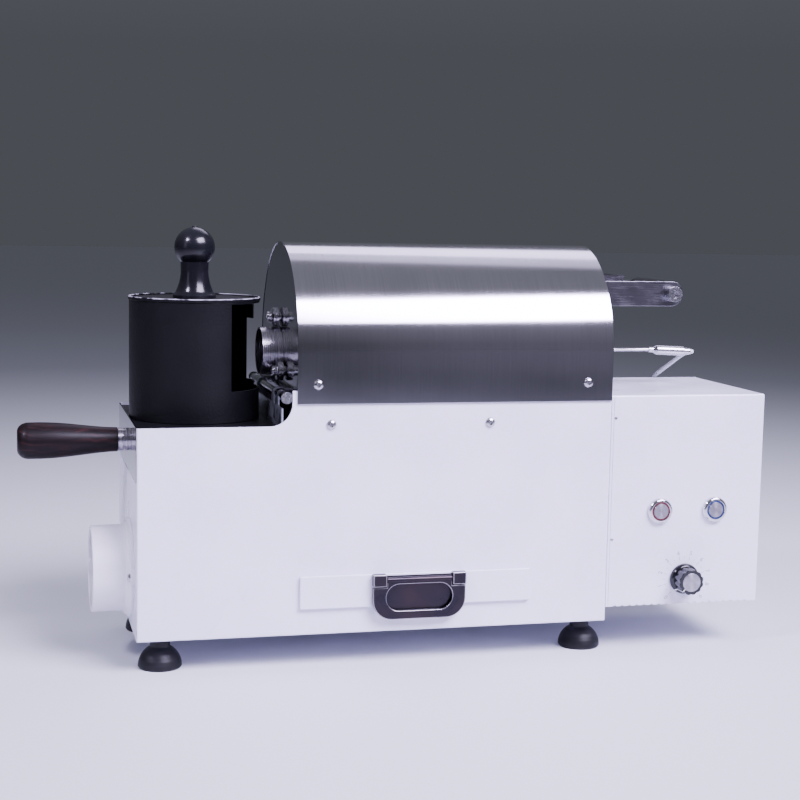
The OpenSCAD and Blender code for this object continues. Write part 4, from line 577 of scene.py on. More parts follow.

# ---- Folding pull ----
# A die-cast flap hinged between two ears of its back plate, black-nickel plated. Its rounded edges
# carry a paler nickel as a painted highlight.
PULL_X, PULL_WIDTH, PULL_LOW, PULL_CORNER = 224.75, 77, 38.4, 16
PULL_FULL, PULL_TOP, PULL_AXIS, FINGER_Z = 64.6, 72, 70.6, 56.3

# black nickel: smoky grey, half gloss, with a brown cloud 25 mm across; the rounded edges take a
# paler nickel as a painted highlight
nickel_finishes = []
for name, deep, brown in (("black_nickel_plate", "2b2930", "3b3336"),
                          ("painted_highlight_nickel_edge", "8f8c92", "aba5a6")):
    nickel = new_material(name)
    place = add_node(nickel, "ShaderNodeTexCoord").outputs["Object"]
    cloud = add_node(nickel, "ShaderNodeTexNoise", {"Vector": place, "Scale": 1000 / 25, "Detail": 5.0})
    colour = add_node(nickel, "ShaderNodeValToRGB", {0: cloud}, [(0.35, deep), (0.7, brown)])
    gloss = add_node(nickel, "ShaderNodeMapRange", {"Value": cloud, "From Min": 0.3, "From Max": 0.7,
                                                    "To Min": 0.24, "To Max": 0.38})
    shader = add_node(nickel, "ShaderNodeBsdfPrincipled", {
        "Base Color": colour, "Metallic": 1.0, "Roughness": gloss})
    add_node(nickel, "ShaderNodeOutputMaterial", {"Surface": shader})
    nickel_finishes.append(nickel)

left, right, ears_in = PULL_X - PULL_WIDTH / 2, PULL_X + PULL_WIDTH / 2, 27
flap = arc((left + PULL_CORNER, PULL_LOW + PULL_CORNER), PULL_CORNER, 180, 270, 12)
flap += arc((right - PULL_CORNER, PULL_LOW + PULL_CORNER), PULL_CORNER, 270, 360, 12)
flap += [(right, PULL_FULL), (PULL_X + ears_in, PULL_FULL), (PULL_X + ears_in, PULL_TOP),
         (PULL_X - ears_in, PULL_TOP), (PULL_X - ears_in, PULL_FULL), (left, PULL_FULL)]
finger_hole = arc((PULL_X + 16.6, FINGER_Z), 10.9, -90, 90, 20)
finger_hole += arc((PULL_X - 16.6, FINGER_Z), 10.9, 90, 270, 20)
pull = plate([[at(x, -8.2, z) for x, z in line] for line in (flap, finger_hole)], Vector((0, 0.003, 0)))
# the flap's rounded edges take the paler nickel: a painted highlight
soften(pull, 0.6, 3, lambda a, b: max(a.y, b.y) < at(0, -8.1, 0).y, finish=1)
pins = [round_bar(1.4, 0, 8, at(x, -6.7, PULL_AXIS), (1, 0, 0), 24) for x in (left + 4, right - 12)]
barrel_line = [(0, 0), (2.2, 0), (2.5, 0.3), (2.5, 2 * ears_in - 0.3), (2.2, 2 * ears_in), (0, 2 * ears_in)]
barrel = turned(barrel_line, at(PULL_X - ears_in, -6.7, PULL_AXIS), (1, 0, 0), 40)
make_piece("pull_flap", join(pull, barrel, *pins), nickel_finishes, "pull", "nickel", "folding_pull")
# the back plate reaches lower than the part's, so the bottom of the finger hole shows dark metal: a dark
# sheet as painted shade where the tray front would show
back = block((left + 3, -4.1, 45.2), (right - 3, -3.3, 73.6), 0.25)
# the ears' rounded edges take the paler nickel: a painted highlight
pull_ears = [block((x, -9.7, 65.6), (x + 11, -3.3, 75.6), 0.7, 3, 1) for x in (left, right - 11)]
make_piece("pull_back", join(back, *pull_ears), nickel_finishes, "chaff_drawer", "nickel", "pull_plate")

# ---- Drum cover ----
# One sheet of 1.2 mm stainless rolled into an arch over the drum with straight skirts, ground with
# a belt round the arch, and held to the end plates by four pan screws.
COVER_X, ARCH_Z, ARCH_RADIUS, SKIRT_Z, COVER_SHEET = (124.5, 387.4), 251, 87, 212.3, 1.2

# belt-ground stainless: lines round the arch 0.7 mm apart (drawn coarser than the 0.1 mm of the
# real belt), which stretch reflections along the cover, and a faint cloud
ground_steel = new_material("belt_ground_stainless")
place = add_node(ground_steel, "ShaderNodeTexCoord").outputs["Object"]
grooves = add_node(ground_steel, "ShaderNodeMapping", {
    "Vector": place, "Scale": (1000 / 0.7, 1000 / 45, 1000 / 45)})
lines = add_node(ground_steel, "ShaderNodeTexNoise", {"Vector": grooves, "Scale": 1.0, "Detail": 3.0})
cloud = add_node(ground_steel, "ShaderNodeTexNoise", {"Vector": place, "Scale": 1000 / 60, "Detail": 4.0})
mixed = add_node(ground_steel, "ShaderNodeMath", {0: lines, 1: cloud}, operation="ADD")
colour = add_node(ground_steel, "ShaderNodeMapRange", {"Value": mixed, "From Min": 0.7, "From Max": 1.3})
colour = add_node(ground_steel, "ShaderNodeValToRGB", {0: colour}, [(0.0, "bab6c0"), (1.0, "c6c2cc")])
gloss = add_node(ground_steel, "ShaderNodeMapRange", {"Value": mixed, "From Min": 0.7, "From Max": 1.3,
                                                      "To Min": 0.13, "To Max": 0.17})
skin = add_node(ground_steel, "ShaderNodeBump", {"Height": lines, "Distance": 0.000004, "Strength": 0.1})
grain = add_node(ground_steel, "ShaderNodeTangent", direction_type="RADIAL", axis="X")
shader = add_node(ground_steel, "ShaderNodeBsdfPrincipled", {
    "Base Color": colour, "Metallic": 1.0, "Roughness": gloss, "Normal": skin, "Tangent": grain,
    "Anisotropic": 0.9, "Anisotropic Rotation": 0.25})
add_node(ground_steel, "ShaderNodeOutputMaterial", {"Surface": shader})

cover = bmesh.new()
skirts = [cover.verts.new(at(COVER_X[0], MIDDLE_Y + side * ARCH_RADIUS, SKIRT_Z)) for side in (-1, 1)]
springs = [cover.verts.new(at(COVER_X[0], MIDDLE_Y + side * ARCH_RADIUS, ARCH_Z)) for side in (-1, 1)]
for pair in zip(skirts, springs):
    cover.edges.new(pair)
bmesh.ops.spin(cover, geom=springs[:1], cent=at(COVER_X[0], MIDDLE_Y, ARCH_Z), axis=(1, 0, 0),
               angle=-math.pi, steps=96)
bmesh.ops.remove_doubles(cover, verts=cover.verts, dist=1e-6)
grown = bmesh.ops.extrude_edge_only(cover, edges=cover.edges[:])
bmesh.ops.translate(cover, vec=((COVER_X[1] - COVER_X[0]) / 1000, 0, 0),
                    verts=[v for v in grown["geom"] if isinstance(v, bmesh.types.BMVert)])
bmesh.ops.recalc_face_normals(cover, faces=cover.faces)
bmesh.ops.solidify(cover, geom=cover.faces[:], thickness=COVER_SHEET / 1000)
soften(cover, 0.35, 2)
make_piece("arched_cover", cover, ground_steel, "roasting_head", "brushed_stainless", "drum_cover")
paint(ground_steel, "right_end_plate")

# ---- Drum and its rollers ----
# A welded stainless drum whose turned neck runs on three ball-bearing rollers, each on a socket-head
# bolt through the end plate.
DRUM_Z, DRUM_WALL, DRUM_ENDS = 247, 1.2, (107.8, 344)
NECK_END, DRUM_NECK, BARREL = 131, 20, 62
ROLLER_CIRCLE, ROLLER_ANGLES = 28.3, {"top": 90, "front": 210, "rear": 330}

drum_line = [(DRUM_NECK - DRUM_WALL, DRUM_ENDS[0]), (DRUM_NECK - 0.3, DRUM_ENDS[0]),
             (DRUM_NECK, DRUM_ENDS[0] + 0.3), (DRUM_NECK, NECK_END), (BARREL - 0.8, NECK_END),
             (BARREL, NECK_END + 0.8), (BARREL, DRUM_ENDS[1]), (BARREL - DRUM_WALL, DRUM_ENDS[1]),
             (BARREL - DRUM_WALL, NECK_END + DRUM_WALL), (DRUM_NECK - DRUM_WALL, NECK_END + DRUM_WALL),
             (DRUM_NECK - DRUM_WALL, DRUM_ENDS[0])]
drum = turned(drum_line, at(0, MIDDLE_Y, DRUM_Z), (1, 0, 0), 96)
make_piece("drum_barrel", drum, turned_steel, "drum", "satin_stainless", "drum_shell")


def socket_head(foot, axis, radius, height, key, depth):
    """A screw head with a hexagon socket: the key's corner radius and depth, all in millimetres."""
    axis = Vector(axis)
    across = axis.orthogonal().normalized()
    up = axis.cross(across)
    floor_of_socket = foot + axis * (height - depth) / 1000
    rings = [[floor_of_socket + (across * y + up * z) / 1000
              for y, z in arc((0, 0), size, 0, 360 - 360 / sides, sides - 1)]
             for size, sides in ((radius, 48), (key, 6))]
    cup = plate(rings, axis * depth / 1000)
    rim = foot + axis * (height - 0.01) / 1000
    soften(cup, 0.5, 2, lambda a, b: min((a - rim).dot(axis), (b - rim).dot(axis)) > 0)
    return join(cup, round_bar(radius, 0, height - depth, foot, axis, 48))


wheel_line = [(2.6, 0), (6.4, 0), (6.6, 0.3), (7.4, 0.3), (8, 0.8), (8, 2.6), (7.5, 3), (8, 3.4), (8, 5.2),
              (7.4, 5.7), (6.6, 5.7), (6.4, 6), (2.6, 6), (2.6, 0)]
washer_line = [(2.5, 124.3), (4.1, 124.3), (4.3, 124.5), (4.3, 125), (2.5, 125)]
bolts = []
for name, angle in ROLLER_ANGLES.items():
    y = MIDDLE_Y + ROLLER_CIRCLE * math.cos(math.radians(angle))
    z = DRUM_Z + ROLLER_CIRCLE * math.sin(math.radians(angle))
    wheel = turned(wheel_line, at(118, y, z), (1, 0, 0), 56)
    make_piece(name + "_wheel", wheel, plated, "roller_" + name, "screw_steel", name + "_roller")
    bolts += [socket_head(at(117.7, y, z), (-1, 0, 0), 4.3, 3.5, 2.3, 2.2),
              round_bar(2.5, 117.5, 129.2, at(0, y, z), (1, 0, 0), 32),
              turned(washer_line, at(0, y, z), (1, 0, 0), 40),
              round_bar(4.3, 126.2, 129.2, at(0, y, z), (1, 0, 0), 6)]
make_piece("wheel_bolts", join(*bolts), plated, "roasting_head", "screw_steel", "roller_bolts")

# ---- Lever ----
# A 3 mm stainless bar, bent over at its foot and screwed to the right end plate, with a black grip
# turned towards the back. A socket-head bolt runs through the bar into the grip.
LEVER_X, LEVER_Y, LEVER_Z, LEVER_FOOT_X, LEVER_HALF = 454.9, (40, 43), 298.5, 386.9, 10.5

# satin stainless: hand-rubbed along the strip with an abrasive pad, strokes about 0.6 by 30 mm
satin_steel = new_material("pad_rubbed_stainless")
place = add_node(satin_steel, "ShaderNodeTexCoord").outputs["Object"]
rubbed = add_node(satin_steel, "ShaderNodeMapping", {
    "Vector": place, "Scale": (1000 / 30, 1000 / 0.6, 1000 / 0.6)})
strokes = add_node(satin_steel, "ShaderNodeTexNoise", {"Vector": rubbed, "Scale": 1.0, "Detail": 3.0})
cloud = add_node(satin_steel, "ShaderNodeTexNoise", {"Vector": place, "Scale": 1000 / 18, "Detail": 5.0})
mixed = add_node(satin_steel, "ShaderNodeMath", {0: strokes, 1: cloud}, operation="ADD")
tone = add_node(satin_steel, "ShaderNodeMapRange", {"Value": mixed, "From Min": 0.7, "From Max": 1.3})
colour = add_node(satin_steel, "ShaderNodeValToRGB", {0: tone}, [(0.0, "74717a"), (1.0, "94919a")])
gloss = add_node(satin_steel, "ShaderNodeMapRange", {"Value": tone, "To Min": 0.2, "To Max": 0.3})
skin = add_node(satin_steel, "ShaderNodeBump", {"Height": strokes, "Distance": 0.00001, "Strength": 0.3})
shader = add_node(satin_steel, "ShaderNodeBsdfPrincipled", {"Base Color": colour, "Metallic": 1.0,
                                                            "Roughness": gloss, "Normal": skin})
add_node(satin_steel, "ShaderNodeOutputMaterial", {"Surface": shader})
paint(satin_steel, "bean_chute", "hopper", "drive_bulkhead", "drum_spider", "heat_liner", "drawer_box")

bar_line = [(LEVER_FOOT_X, LEVER_Z - LEVER_HALF)] + arc((LEVER_X, LEVER_Z), LEVER_HALF, -90, 90, 32)
bar_line += [(LEVER_FOOT_X, LEVER_Z + LEVER_HALF)]
bar = plate([[at(x, LEVER_Y[0], z) for x, z in bar_line]], Vector((0, (LEVER_Y[1] - LEVER_Y[0]) / 1000, 0)))
soften(bar, 0.4, 2)
bar_foot = block((LEVER_FOOT_X, LEVER_Y[0], LEVER_Z - LEVER_HALF), (389.9, 54, LEVER_Z + LEVER_HALF), 0.4)
make_piece("lever_strip", join(bar, bar_foot), satin_steel, "roasting_head", "satin_stainless", "lever_bar")

lever_bolts = [socket_head(at(LEVER_X, LEVER_Y[0], LEVER_Z), (0, -1, 0), 6.5, 8, 3.5, 4.4),
               round_bar(4, 0, 43, at(LEVER_X, LEVER_Y[0], LEVER_Z), (0, 1, 0), 40)]
foot_screws = [at(389.9, 49, LEVER_Z + side) for side in (-6, 6)]
lever_bolts += [socket_head(spot, (1, 0, 0), 3.6, 2.2, 1.3, 1.3) for spot in foot_screws]
lever_bolts += [round_bar(2, 0, 8, spot, (-1, 0, 0), 24) for spot in foot_screws]
make_piece("lever_bolts", join(*lever_bolts), plated, "roasting_head", "screw_steel", "lever_bolt")
lever_grip_line = [(4, 0), (10.4, 0), (11, 0.6), (11, 70.4), (10.7, 71.8), (9.9, 72.7), (8.8, 73),
                   (4, 73), (4, 0)]
lever_grip = turned(lever_grip_line, at(LEVER_X, LEVER_Y[1], LEVER_Z), (0, 1, 0), 64)
make_piece("grip", lever_grip, phenolic, "roasting_head", "black_phenolic", "lever_grip")

# ---- Temperature probe ----
# A thin stainless rod through a fitting in the end plate, crimped into a plated sleeve that hangs a
# little, and its white silicone lead, which turns back under the sleeve and down behind the box.
ROD_RADIUS, ROD_X, LEAD_RADIUS = 1.4, (290.4, 456.9), 1.85
SLEEVE_X, SLEEVE_DROOP, SLEEVE_LENGTH = 454.9, 2.5, 39.6

rod_line = [(0, ROD_X[0]), (0.9, ROD_X[0]), (ROD_RADIUS, ROD_X[0] + 1), (ROD_RADIUS, ROD_X[1]), (0, ROD_X[1])]
fitting_line = [(ROD_RADIUS, 386.9), (6, 386.9), (6, 392.4), (5.6, 392.9), (ROD_RADIUS, 392.9)]
inner_nut_line = [(ROD_RADIUS, 380.7), (6, 380.7), (6, 385.7), (ROD_RADIUS, 385.7)]
probe_parts = [turned(profile, at(0, MIDDLE_Y, DRUM_Z), (1, 0, 0), steps)
               for profile, steps in ((rod_line, 32), (fitting_line, 6), (inner_nut_line, 6))]
droop = math.radians(SLEEVE_DROOP)
sleeve_line = [(0, 0), (2.1, 0), (2.3, 0.2), (2.3, 4.6), (2.8, 5), (3.9, 7.3), (4.1, 7.8), (4.1, 32.6),
               (3.8, 33.1), (3, 33.4), (3, 38.8), (2.7, 39.4), (0, SLEEVE_LENGTH)]
sleeve = turned(sleeve_line, at(SLEEVE_X, MIDDLE_Y, DRUM_Z), (math.cos(droop), 0, -math.sin(droop)), 48)
make_piece("probe_rod", join(*probe_parts, sleeve), plated, "roasting_head", "screw_steel", "probe")

# silicone lead: white and matt, with a very fine grain 1 mm across
silicone = new_material("extruded_white_silicone")
place = add_node(silicone, "ShaderNodeTexCoord").outputs["Object"]
grain = add_node(silicone, "ShaderNodeTexNoise", {"Vector": place, "Scale": 1000 / 1.0, "Detail": 2.0})
colour = add_node(silicone, "ShaderNodeValToRGB", {0: grain}, [(0.3, "b9b9c0"), (0.7, "d6d6dd")])
skin = add_node(silicone, "ShaderNodeBump", {"Height": grain, "Distance": 0.00005, "Strength": 0.4})
shader = add_node(silicone, "ShaderNodeBsdfPrincipled", {
    "Base Color": colour, "Roughness": 0.5, "Normal": skin})
add_node(silicone, "ShaderNodeOutputMaterial", {"Surface": shader})

# The route, first from the turn to the box's rear edge as shares of the way, then behind the
# box as the share of the way across, the distance from its back, and the share of the way down.
SLEEVE_END = Vector((SLEEVE_X + SLEEVE_LENGTH * math.cos(droop), MIDDLE_Y,
                     DRUM_Z - SLEEVE_LENGTH * math.sin(droop)))
TURN, EDGE = SLEEVE_END + Vector((1.2, 5.2, -1.5)), Vector((488.6, 141, 220.2))
GLAND, BOX_BACK, BOX_TOP = Vector((462, 0, 157)), 139.7, 216.5
OVER = [(0.142, 0.163, 0.081), (0.376, 0.367, 0.296), (0.655, 0.612, 0.577), (0.888, 0.857, 0.845),
        (1, 1, 1)]
DOWN = [(0.045, 6.3, 0.008), (0.083, 9.8, 0.126), (0.135, 11.8, 0.328), (0.286, 13.8, 0.597),
        (0.511, 15.8, 0.882), (0.774, 17.3, 1.084), (0.97, 17.3, 1.145), (1, 14.8, 1.124),
        (1, 11.8, 1.054), (1, 8.8, 1.007)]
route = [SLEEVE_END, SLEEVE_END + Vector((1.8, 0.3, -0.1)), SLEEVE_END + Vector((2.95, 2.4, -0.5)), TURN]
route += [TURN + Vector([(EDGE[k] - TURN[k]) * share[k] for k in range(3)]) for share in OVER]
route += [Vector((EDGE.x + (GLAND.x - EDGE.x) * over, BOX_BACK + out, BOX_TOP + (GLAND.z - BOX_TOP) * down))
          for over, out, down in DOWN]
route += [Vector((GLAND.x, BOX_BACK + 6, GLAND.z))]
line = bpy.data.curves.new("lead_line", "CURVE")
line.dimensions, line.bevel_depth, line.bevel_resolution, line.resolution_u = "3D", LEAD_RADIUS / 1000, 4, 6
line.use_fill_caps = True
spline = line.splines.new("BEZIER")
spline.bezier_points.add(len(route) - 1)
for i, (point, spot) in enumerate(zip(spline.bezier_points, route)):
    ahead, behind = route[min(i + 1, len(route) - 1)], route[max(i - 1, 0)]
    reach = (ahead - behind) / 6
    point.co = at(*spot)
    point.handle_left, point.handle_right = at(*(spot - reach)), at(*(spot + reach))
holder = bpy.data.objects.new("lead_line", line)
lead = bmesh.new()
lead.from_mesh(holder.to_mesh())
holder.to_mesh_clear()
bpy.data.objects.remove(holder)
lead_piece = make_piece("silicone_lead", lead, silicone, None, "white_lead", "probe_lead")
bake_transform(lead_piece)

# ---- Control box ----
# A folded cover, painted like the body, over a chassis screwed to the body's right end. Its front
# has a row of small half-round vents along the foot.
BOX_X, BOX_RIGHT, BOX_FRONT, BOX_LOW, BOX_BEND, FRONT_X = 388.3, 526.3, 0.8, 38.6, 1.6, 390.6
VENTS, VENT_X, VENT_PITCH, VENT_RADIUS = 19, 396.6, 6.6, 1.4

# top, right side and bends, with the back, the foot and the left side open; the front is a plate
shell = cuboid(at(BOX_X, BOX_FRONT, BOX_LOW), at(BOX_RIGHT, 138.2, BOX_TOP))
open_sides = [f for f in shell.faces if f.normal.y > 0.9 or f.normal.z < -0.9 or f.normal.x < -0.9]
bmesh.ops.delete(shell, geom=open_sides, context="FACES")
soften(shell, BOX_BEND, 6)
bmesh.ops.delete(shell, geom=[f for f in shell.faces if f.normal.y < -0.999], context="FACES")
bmesh.ops.solidify(shell, geom=shell.faces[:], thickness=SHEET / 1000)
front_line = [(FRONT_X, BOX_TOP - BOX_BEND), (FRONT_X, BOX_LOW)]
for i in range(VENTS):
    front_line += arc((VENT_X + VENT_PITCH * i, BOX_LOW), VENT_RADIUS, 180, 0, 6)
front_line += [(BOX_RIGHT - BOX_BEND, BOX_LOW), (BOX_RIGHT - BOX_BEND, BOX_TOP - BOX_BEND)]
box_front = plate([[at(x, BOX_FRONT, z) for x, z in front_line]], Vector((0, SHEET / 1000, 0)))
make_piece("box_cover", join(shell, box_front), powder_coat, "root", "white_enamel", "control_cover")

# ---- Push buttons ----
# Two 19 mm metal push buttons: a polished stainless case, a clear coloured ring that lights up, and
# a spun cap that travels.
BUTTONS, BUTTON_Z = {"power": 434, "cooling": 483.6}, 119
CAP_RADIUS, RING_RADIUS, CASE_RADIUS = 6.4, 7.86, 11

# polished stainless: a bright mirror, turned and buffed, hazed a little
polished = new_material("buffed_stainless")
place = add_node(polished, "ShaderNodeTexCoord").outputs["Object"]
haze = add_node(polished, "ShaderNodeTexNoise", {"Vector": place, "Scale": 1000 / 5, "Detail": 3.0})
gloss = add_node(polished, "ShaderNodeMapRange", {"Value": haze, "From Min": 0.3, "From Max": 0.7,
                                                  "To Min": 0.05, "To Max": 0.12})
shader = add_node(polished, "ShaderNodeBsdfPrincipled", {
    "Base Color": linear("d9d7dc"), "Metallic": 1.0, "Roughness": gloss})
add_node(polished, "ShaderNodeOutputMaterial", {"Surface": shader})

# spun steel: fine rings from facing off on the lathe, which draw highlights out across them
spun = new_material("spun_steel_face")
place = add_node(spun, "ShaderNodeTexCoord").outputs["Object"]
cloud = add_node(spun, "ShaderNodeTexNoise", {"Vector": place, "Scale": 1000 / 3, "Detail": 3.0})
colour = add_node(spun, "ShaderNodeValToRGB", {0: cloud}, [(0.3, "9a969e"), (0.7, "b1adb5")])
spot = add_node(spun, "ShaderNodeAttribute", attribute_name="from_axis").outputs["Vector"]
across = add_node(spun, "ShaderNodeVectorMath", {0: spot, 1: (0, 1, 0)}, operation="CROSS_PRODUCT")
rings_round = add_node(spun, "ShaderNodeVectorTransform", {0: across}, vector_type="VECTOR",
                       convert_from="OBJECT", convert_to="WORLD")
shader = add_node(spun, "ShaderNodeBsdfPrincipled", {
    "Base Color": colour, "Metallic": 1.0, "Roughness": 0.28, "Tangent": rings_round, "Anisotropic": 0.9,
    "Anisotropic Rotation": 0.25})
add_node(spun, "ShaderNodeOutputMaterial", {"Surface": shader})

ring_seat, cap_seat = RING_RADIUS + 0.04, CAP_RADIUS + 0.06
case_line = [(ring_seat, -12), (ring_seat, 3.7), (8.2, 4), (9, 4), (9.7, 3.7), (10.4, 2.9), (10.9, 1.8),
             (CASE_RADIUS, 1.4), (CASE_RADIUS, 0), (9.4, 0), (9.4, -24), (0, -24), (0, -12), (ring_seat, -12)]
nut_line = [(9.4, -1.5), (12, -1.5), (12, -5.5), (9.4, -5.5)]
cases = []
for x in BUTTONS.values():
    cases += [turned(case_line, at(x, BOX_FRONT, BUTTON_Z), (0, -1, 0), 80),
              turned(nut_line, at(x, BOX_FRONT, BUTTON_Z), (0, -1, 0), 6)]
make_piece("button_bodies", join(*cases), polished, "root", "polished_stainless", "button_cases")

ring_line = [(cap_seat, -10), (cap_seat, 3.5), (6.7, 3.7), (7.6, 3.7), (RING_RADIUS, 3.5),
             (RING_RADIUS, -12), (cap_seat, -12), (cap_seat, -10)]
cap_line = [(0, -8), (CAP_RADIUS, -8), (CAP_RADIUS, 3.75), (6.2, 4), (0, 4)]
RING_FINISH = {"power": ("red_lens", "3c0d16", "611a28"), "cooling": ("blue_lens", "121d47", "1e3270")}
for name, x in BUTTONS.items():
    # acrylic: a clear coloured ring, unlit, deep in the middle and glossy on top
    slot, deep, pale = RING_FINISH[name]
    acrylic = new_material(name + "_ring_acrylic")
    place = add_node(acrylic, "ShaderNodeTexCoord").outputs["Object"]
    depth = add_node(acrylic, "ShaderNodeTexNoise", {"Vector": place, "Scale": 1000 / 2.5, "Detail": 1.0})
    colour = add_node(acrylic, "ShaderNodeValToRGB", {0: depth}, [(0.3, deep), (0.7, pale)])
    shader = add_node(acrylic, "ShaderNodeBsdfPrincipled", {
        "Base Color": colour, "Roughness": 0.12, "IOR": 1.49, "Coat Weight": 0.3, "Coat Roughness": 0.05})
    add_node(acrylic, "ShaderNodeOutputMaterial", {"Surface": shader})
    ring = turned(ring_line, at(x, BOX_FRONT, BUTTON_Z), (0, -1, 0), 80)
    make_piece(name + "_lens", ring, acrylic, "root", slot, name + "_button_ring")
    cap = turned(cap_line, at(x, BOX_FRONT, BUTTON_Z), (0, -1, 0), 80)
    make_piece(name + "_cap", cap, spun, name + "_cap", "spun_steel", name + "_button")

# ---- Dial ----
# A fluted knob moulded in glossy black with a spun insert and a white pointer that runs from the
# insert to the skirt. Its scale, 0 to 9, is screen printed on the cover in thin grey.
DIAL, DIAL_FACE, DIAL_FRONT, FLUTES = (458.3, 60.2), 0.4, -15.7, 12
POINTER_WIDTH, DIGITS, DIGIT_TURN, DIGIT_CIRCLE = math.radians(4.8), 10, 30, 22.1

# moulded phenolic: deep glossy black, its parting faces slightly uneven
glossy_black = new_material("glossy_black_moulding")
place = add_node(glossy_black, "ShaderNodeTexCoord").outputs["Object"]
cloud = add_node(glossy_black, "ShaderNodeTexNoise", {"Vector": place, "Scale": 1000 / 6, "Detail": 2.0})
colour = add_node(glossy_black, "ShaderNodeValToRGB", {0: cloud}, [(0.3, "09090c"), (0.7, "101015")])
skin = add_node(glossy_black, "ShaderNodeBump", {"Height": cloud, "Distance": 0.0001, "Strength": 0.2})
shader = add_node(glossy_black, "ShaderNodeBsdfPrincipled", {
    "Base Color": colour, "Roughness": 0.14, "Normal": skin})
add_node(glossy_black, "ShaderNodeOutputMaterial", {"Surface": shader})

flute_line = []
for i in range(FLUTES * 10):
    turn = 2 * math.pi * i / (FLUTES * 10)
    radius = 10.15 + 0.85 * (0.5 - 0.5 * math.cos(FLUTES * turn)) ** 0.6
    flute_line.append((DIAL[0] + radius * math.cos(turn), DIAL[1] + radius * math.sin(turn)))
fluted = plate([[at(x, -4, z) for x, z in flute_line]], Vector((0, (DIAL_FRONT + 4.3) / 1000, 0)))
soften(fluted, 0.7, 3, lambda a, b: max(a.y, b.y) < at(0, DIAL_FRONT + 0.4, 0).y)
dial_seat = at(DIAL[0], DIAL_FACE, DIAL[1])
skirt_line = [(3, 0), (12.6, 0), (13, 0.4), (13, 1.8), (12.6, 2.9), (11.8, 3.9), (10.6, 4.6), (3, 4.6)]
skirt = turned(skirt_line, dial_seat, (0, -1, 0), 80)
shaft = round_bar(3, -8.9, 4, dial_seat, (0, -1, 0), 32)
make_piece("dial_body", join(fluted, skirt, shaft), glossy_black, "dial", "black_plastic", "dial_knob")
insert = turned([(0, 15.6), (7.8, 15.6), (7.8, 15.95), (7.5, 16.1), (0, 16.1)], dial_seat, (0, -1, 0), 80)
make_piece("dial_insert", insert, spun, "dial", "spun_steel")

# printing ink: flat white on the knob and thin worn grey on the cover, a little uneven
inks = []
for name, pale, deep in (("white_pointer_ink", "f2f1f5", "dcdbe2"), ("grey_screen_ink", "9a9aa8", "7a7b88")):
    ink = new_material(name)
    place = add_node(ink, "ShaderNodeTexCoord").outputs["Object"]
    wear = add_node(ink, "ShaderNodeTexNoise", {"Vector": place, "Scale": 1000 / 1.2, "Detail": 2.0})
    colour = add_node(ink, "ShaderNodeValToRGB", {0: wear}, [(0.4, deep), (0.65, pale)])
    shader = add_node(ink, "ShaderNodeBsdfPrincipled", {"Base Color": colour, "Roughness": 0.4})
    add_node(ink, "ShaderNodeOutputMaterial", {"Surface": shader})
    inks.append(ink)

pointer = bmesh.new()
track = [(7.6, 15.86), (10.2, 15.86), (10.8, 15.6), (11.06, 15.2), (11.06, 4.66), (11.9, 3.95), (12.68, 2.95),
         (13.04, 1.85), (13.04, 0.6)]
pointer_turn = math.radians(225)
outward = Vector((math.cos(pointer_turn), 0, math.sin(pointer_turn)))
outward = Matrix.Rotation(POINTER_WIDTH / 2, 3, "Y") @ outward
line_verts = [pointer.verts.new(dial_seat + (outward * r + Vector((0, -h, 0))) / 1000) for r, h in track]
line_edges = [pointer.edges.new(pair) for pair in zip(line_verts, line_verts[1:])]
bmesh.ops.spin(pointer, geom=line_verts + line_edges, cent=dial_seat, axis=(0, 1, 0), angle=-POINTER_WIDTH,
               steps=4)
bmesh.ops.recalc_face_normals(pointer, faces=pointer.faces)
make_piece("dial_pointer", pointer, inks[0], "dial", "white_plastic")

scale = bmesh.new()
for number in range(DIGITS):
    turn = pointer_turn - math.radians(DIGIT_TURN * number)
    out = Vector((math.cos(turn), 0, math.sin(turn)))
    upright = Matrix.Rotation(math.pi / 2 - turn, 4, "Y") @ Matrix.Rotation(math.pi / 2, 4, "X")
    letters = bpy.data.curves.new("digit", "FONT")
    letters.body, letters.size, letters.align_x, letters.align_y = str(number), 0.0052, "CENTER", "CENTER"
    holder = bpy.data.objects.new("digit", letters)
    digit = bmesh.new()
    digit.from_mesh(holder.to_mesh())
    holder.to_mesh_clear()
    bpy.data.objects.remove(holder)
    centre = at(DIAL[0], BOX_FRONT - 0.03, DIAL[1]) + out * DIGIT_CIRCLE / 1000
    bmesh.ops.transform(digit, verts=digit.verts, matrix=Matrix.Translation(centre) @ upright)
    join(scale, digit)
    # a long tick at the number and a short one half way to the next
    for share, inner, outer in ((0, 15.8, 19.2), (0.5, 17.4, 18.8)):
        if number == DIGITS - 1 and share:
            continue
        bearing = turn - math.radians(DIGIT_TURN * share)
        middle = Vector((math.cos(bearing), 0, math.sin(bearing))) * (inner + outer) / 2000
        tick = bmesh.new()
        bmesh.ops.create_cube(tick, size=1, matrix=(
            Matrix.Translation(at(DIAL[0], BOX_FRONT - 0.015, DIAL[1]) + middle)
            @ Matrix.Rotation(-bearing, 4, "Y")
            @ Matrix.Diagonal(((outer - inner) / 1000, 0.00003, 0.0003, 1))))
        join(scale, tick)
make_piece("dial_scale", scale, inks[1], "root", "white_enamel")

# ---- Works inside ----
# Bought parts that show only through openings or when a piece is off: motors and heating tubes in
# drawn steel, moulded nylon fittings, brass gears and the circuit board.

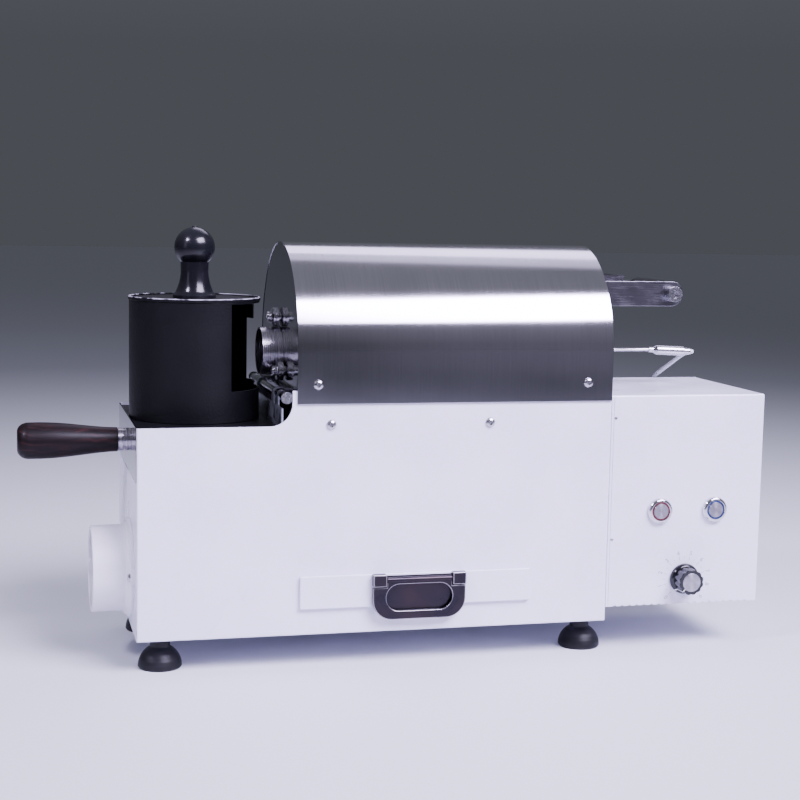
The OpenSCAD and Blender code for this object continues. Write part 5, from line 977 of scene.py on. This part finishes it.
# drawn steel: dull grey, slightly oily, with broad marks 4 mm apart from the press
drawn_steel = new_material("drawn_steel_housing")
place = add_node(drawn_steel, "ShaderNodeTexCoord").outputs["Object"]
marks = add_node(drawn_steel, "ShaderNodeTexNoise", {"Vector": place, "Scale": 1000 / 4, "Detail": 5.0})
colour = add_node(drawn_steel, "ShaderNodeValToRGB", {0: marks}, [(0.3, "6f6d70"), (0.7, "8f8d90")])
shader = add_node(drawn_steel, "ShaderNodeBsdfPrincipled", {"Base Color": colour, "Metallic": 1.0,
                                                            "Roughness": 0.42})
add_node(drawn_steel, "ShaderNodeOutputMaterial", {"Surface": shader})
paint(drawn_steel, "heating_tubes", "fan_motor", "dial_potentiometer", "gear_motor")

# glass-filled nylon: matt black with a fine grain 1.2 mm across
nylon = new_material("glass_filled_black_nylon")
place = add_node(nylon, "ShaderNodeTexCoord").outputs["Object"]
grain = add_node(nylon, "ShaderNodeTexNoise", {"Vector": place, "Scale": 1000 / 1.2, "Detail": 2.0})
colour = add_node(nylon, "ShaderNodeValToRGB", {0: grain}, [(0.3, "121214"), (0.7, "1d1d20")])
skin = add_node(nylon, "ShaderNodeBump", {"Height": grain, "Distance": 0.00003, "Strength": 0.3})
shader = add_node(nylon, "ShaderNodeBsdfPrincipled", {
    "Base Color": colour, "Roughness": 0.48, "Normal": skin})
add_node(nylon, "ShaderNodeOutputMaterial", {"Surface": shader})
paint(nylon, "fan_rotor", "power_inlet", "lead_gland")

# brass: hobbed teeth, yellow and half bright, dulled in patches 8 mm across
brass = new_material("hobbed_brass")
place = add_node(brass, "ShaderNodeTexCoord").outputs["Object"]
tarnish = add_node(brass, "ShaderNodeTexNoise", {"Vector": place, "Scale": 1000 / 8, "Detail": 4.0})
colour = add_node(brass, "ShaderNodeValToRGB", {0: tarnish}, [(0.3, "a5813f"), (0.7, "c9a659")])
shader = add_node(brass, "ShaderNodeBsdfPrincipled", {
    "Base Color": colour, "Metallic": 1.0, "Roughness": 0.3})
add_node(brass, "ShaderNodeOutputMaterial", {"Surface": shader})
paint(brass, "motor_pinion", "drum_gear")

# glass epoxy board: green solder resist with a weave 1.5 mm wide under it
epoxy = new_material("green_glass_epoxy")
place = add_node(epoxy, "ShaderNodeTexCoord").outputs["Object"]
weave = add_node(epoxy, "ShaderNodeTexNoise", {"Vector": place, "Scale": 1000 / 1.5, "Detail": 1.0})
colour = add_node(epoxy, "ShaderNodeValToRGB", {0: weave}, [(0.35, "123a22"), (0.65, "1c5230")])
shader = add_node(epoxy, "ShaderNodeBsdfPrincipled", {"Base Color": colour, "Roughness": 0.3})
add_node(epoxy, "ShaderNodeOutputMaterial", {"Surface": shader})
paint(epoxy, "circuit_board")
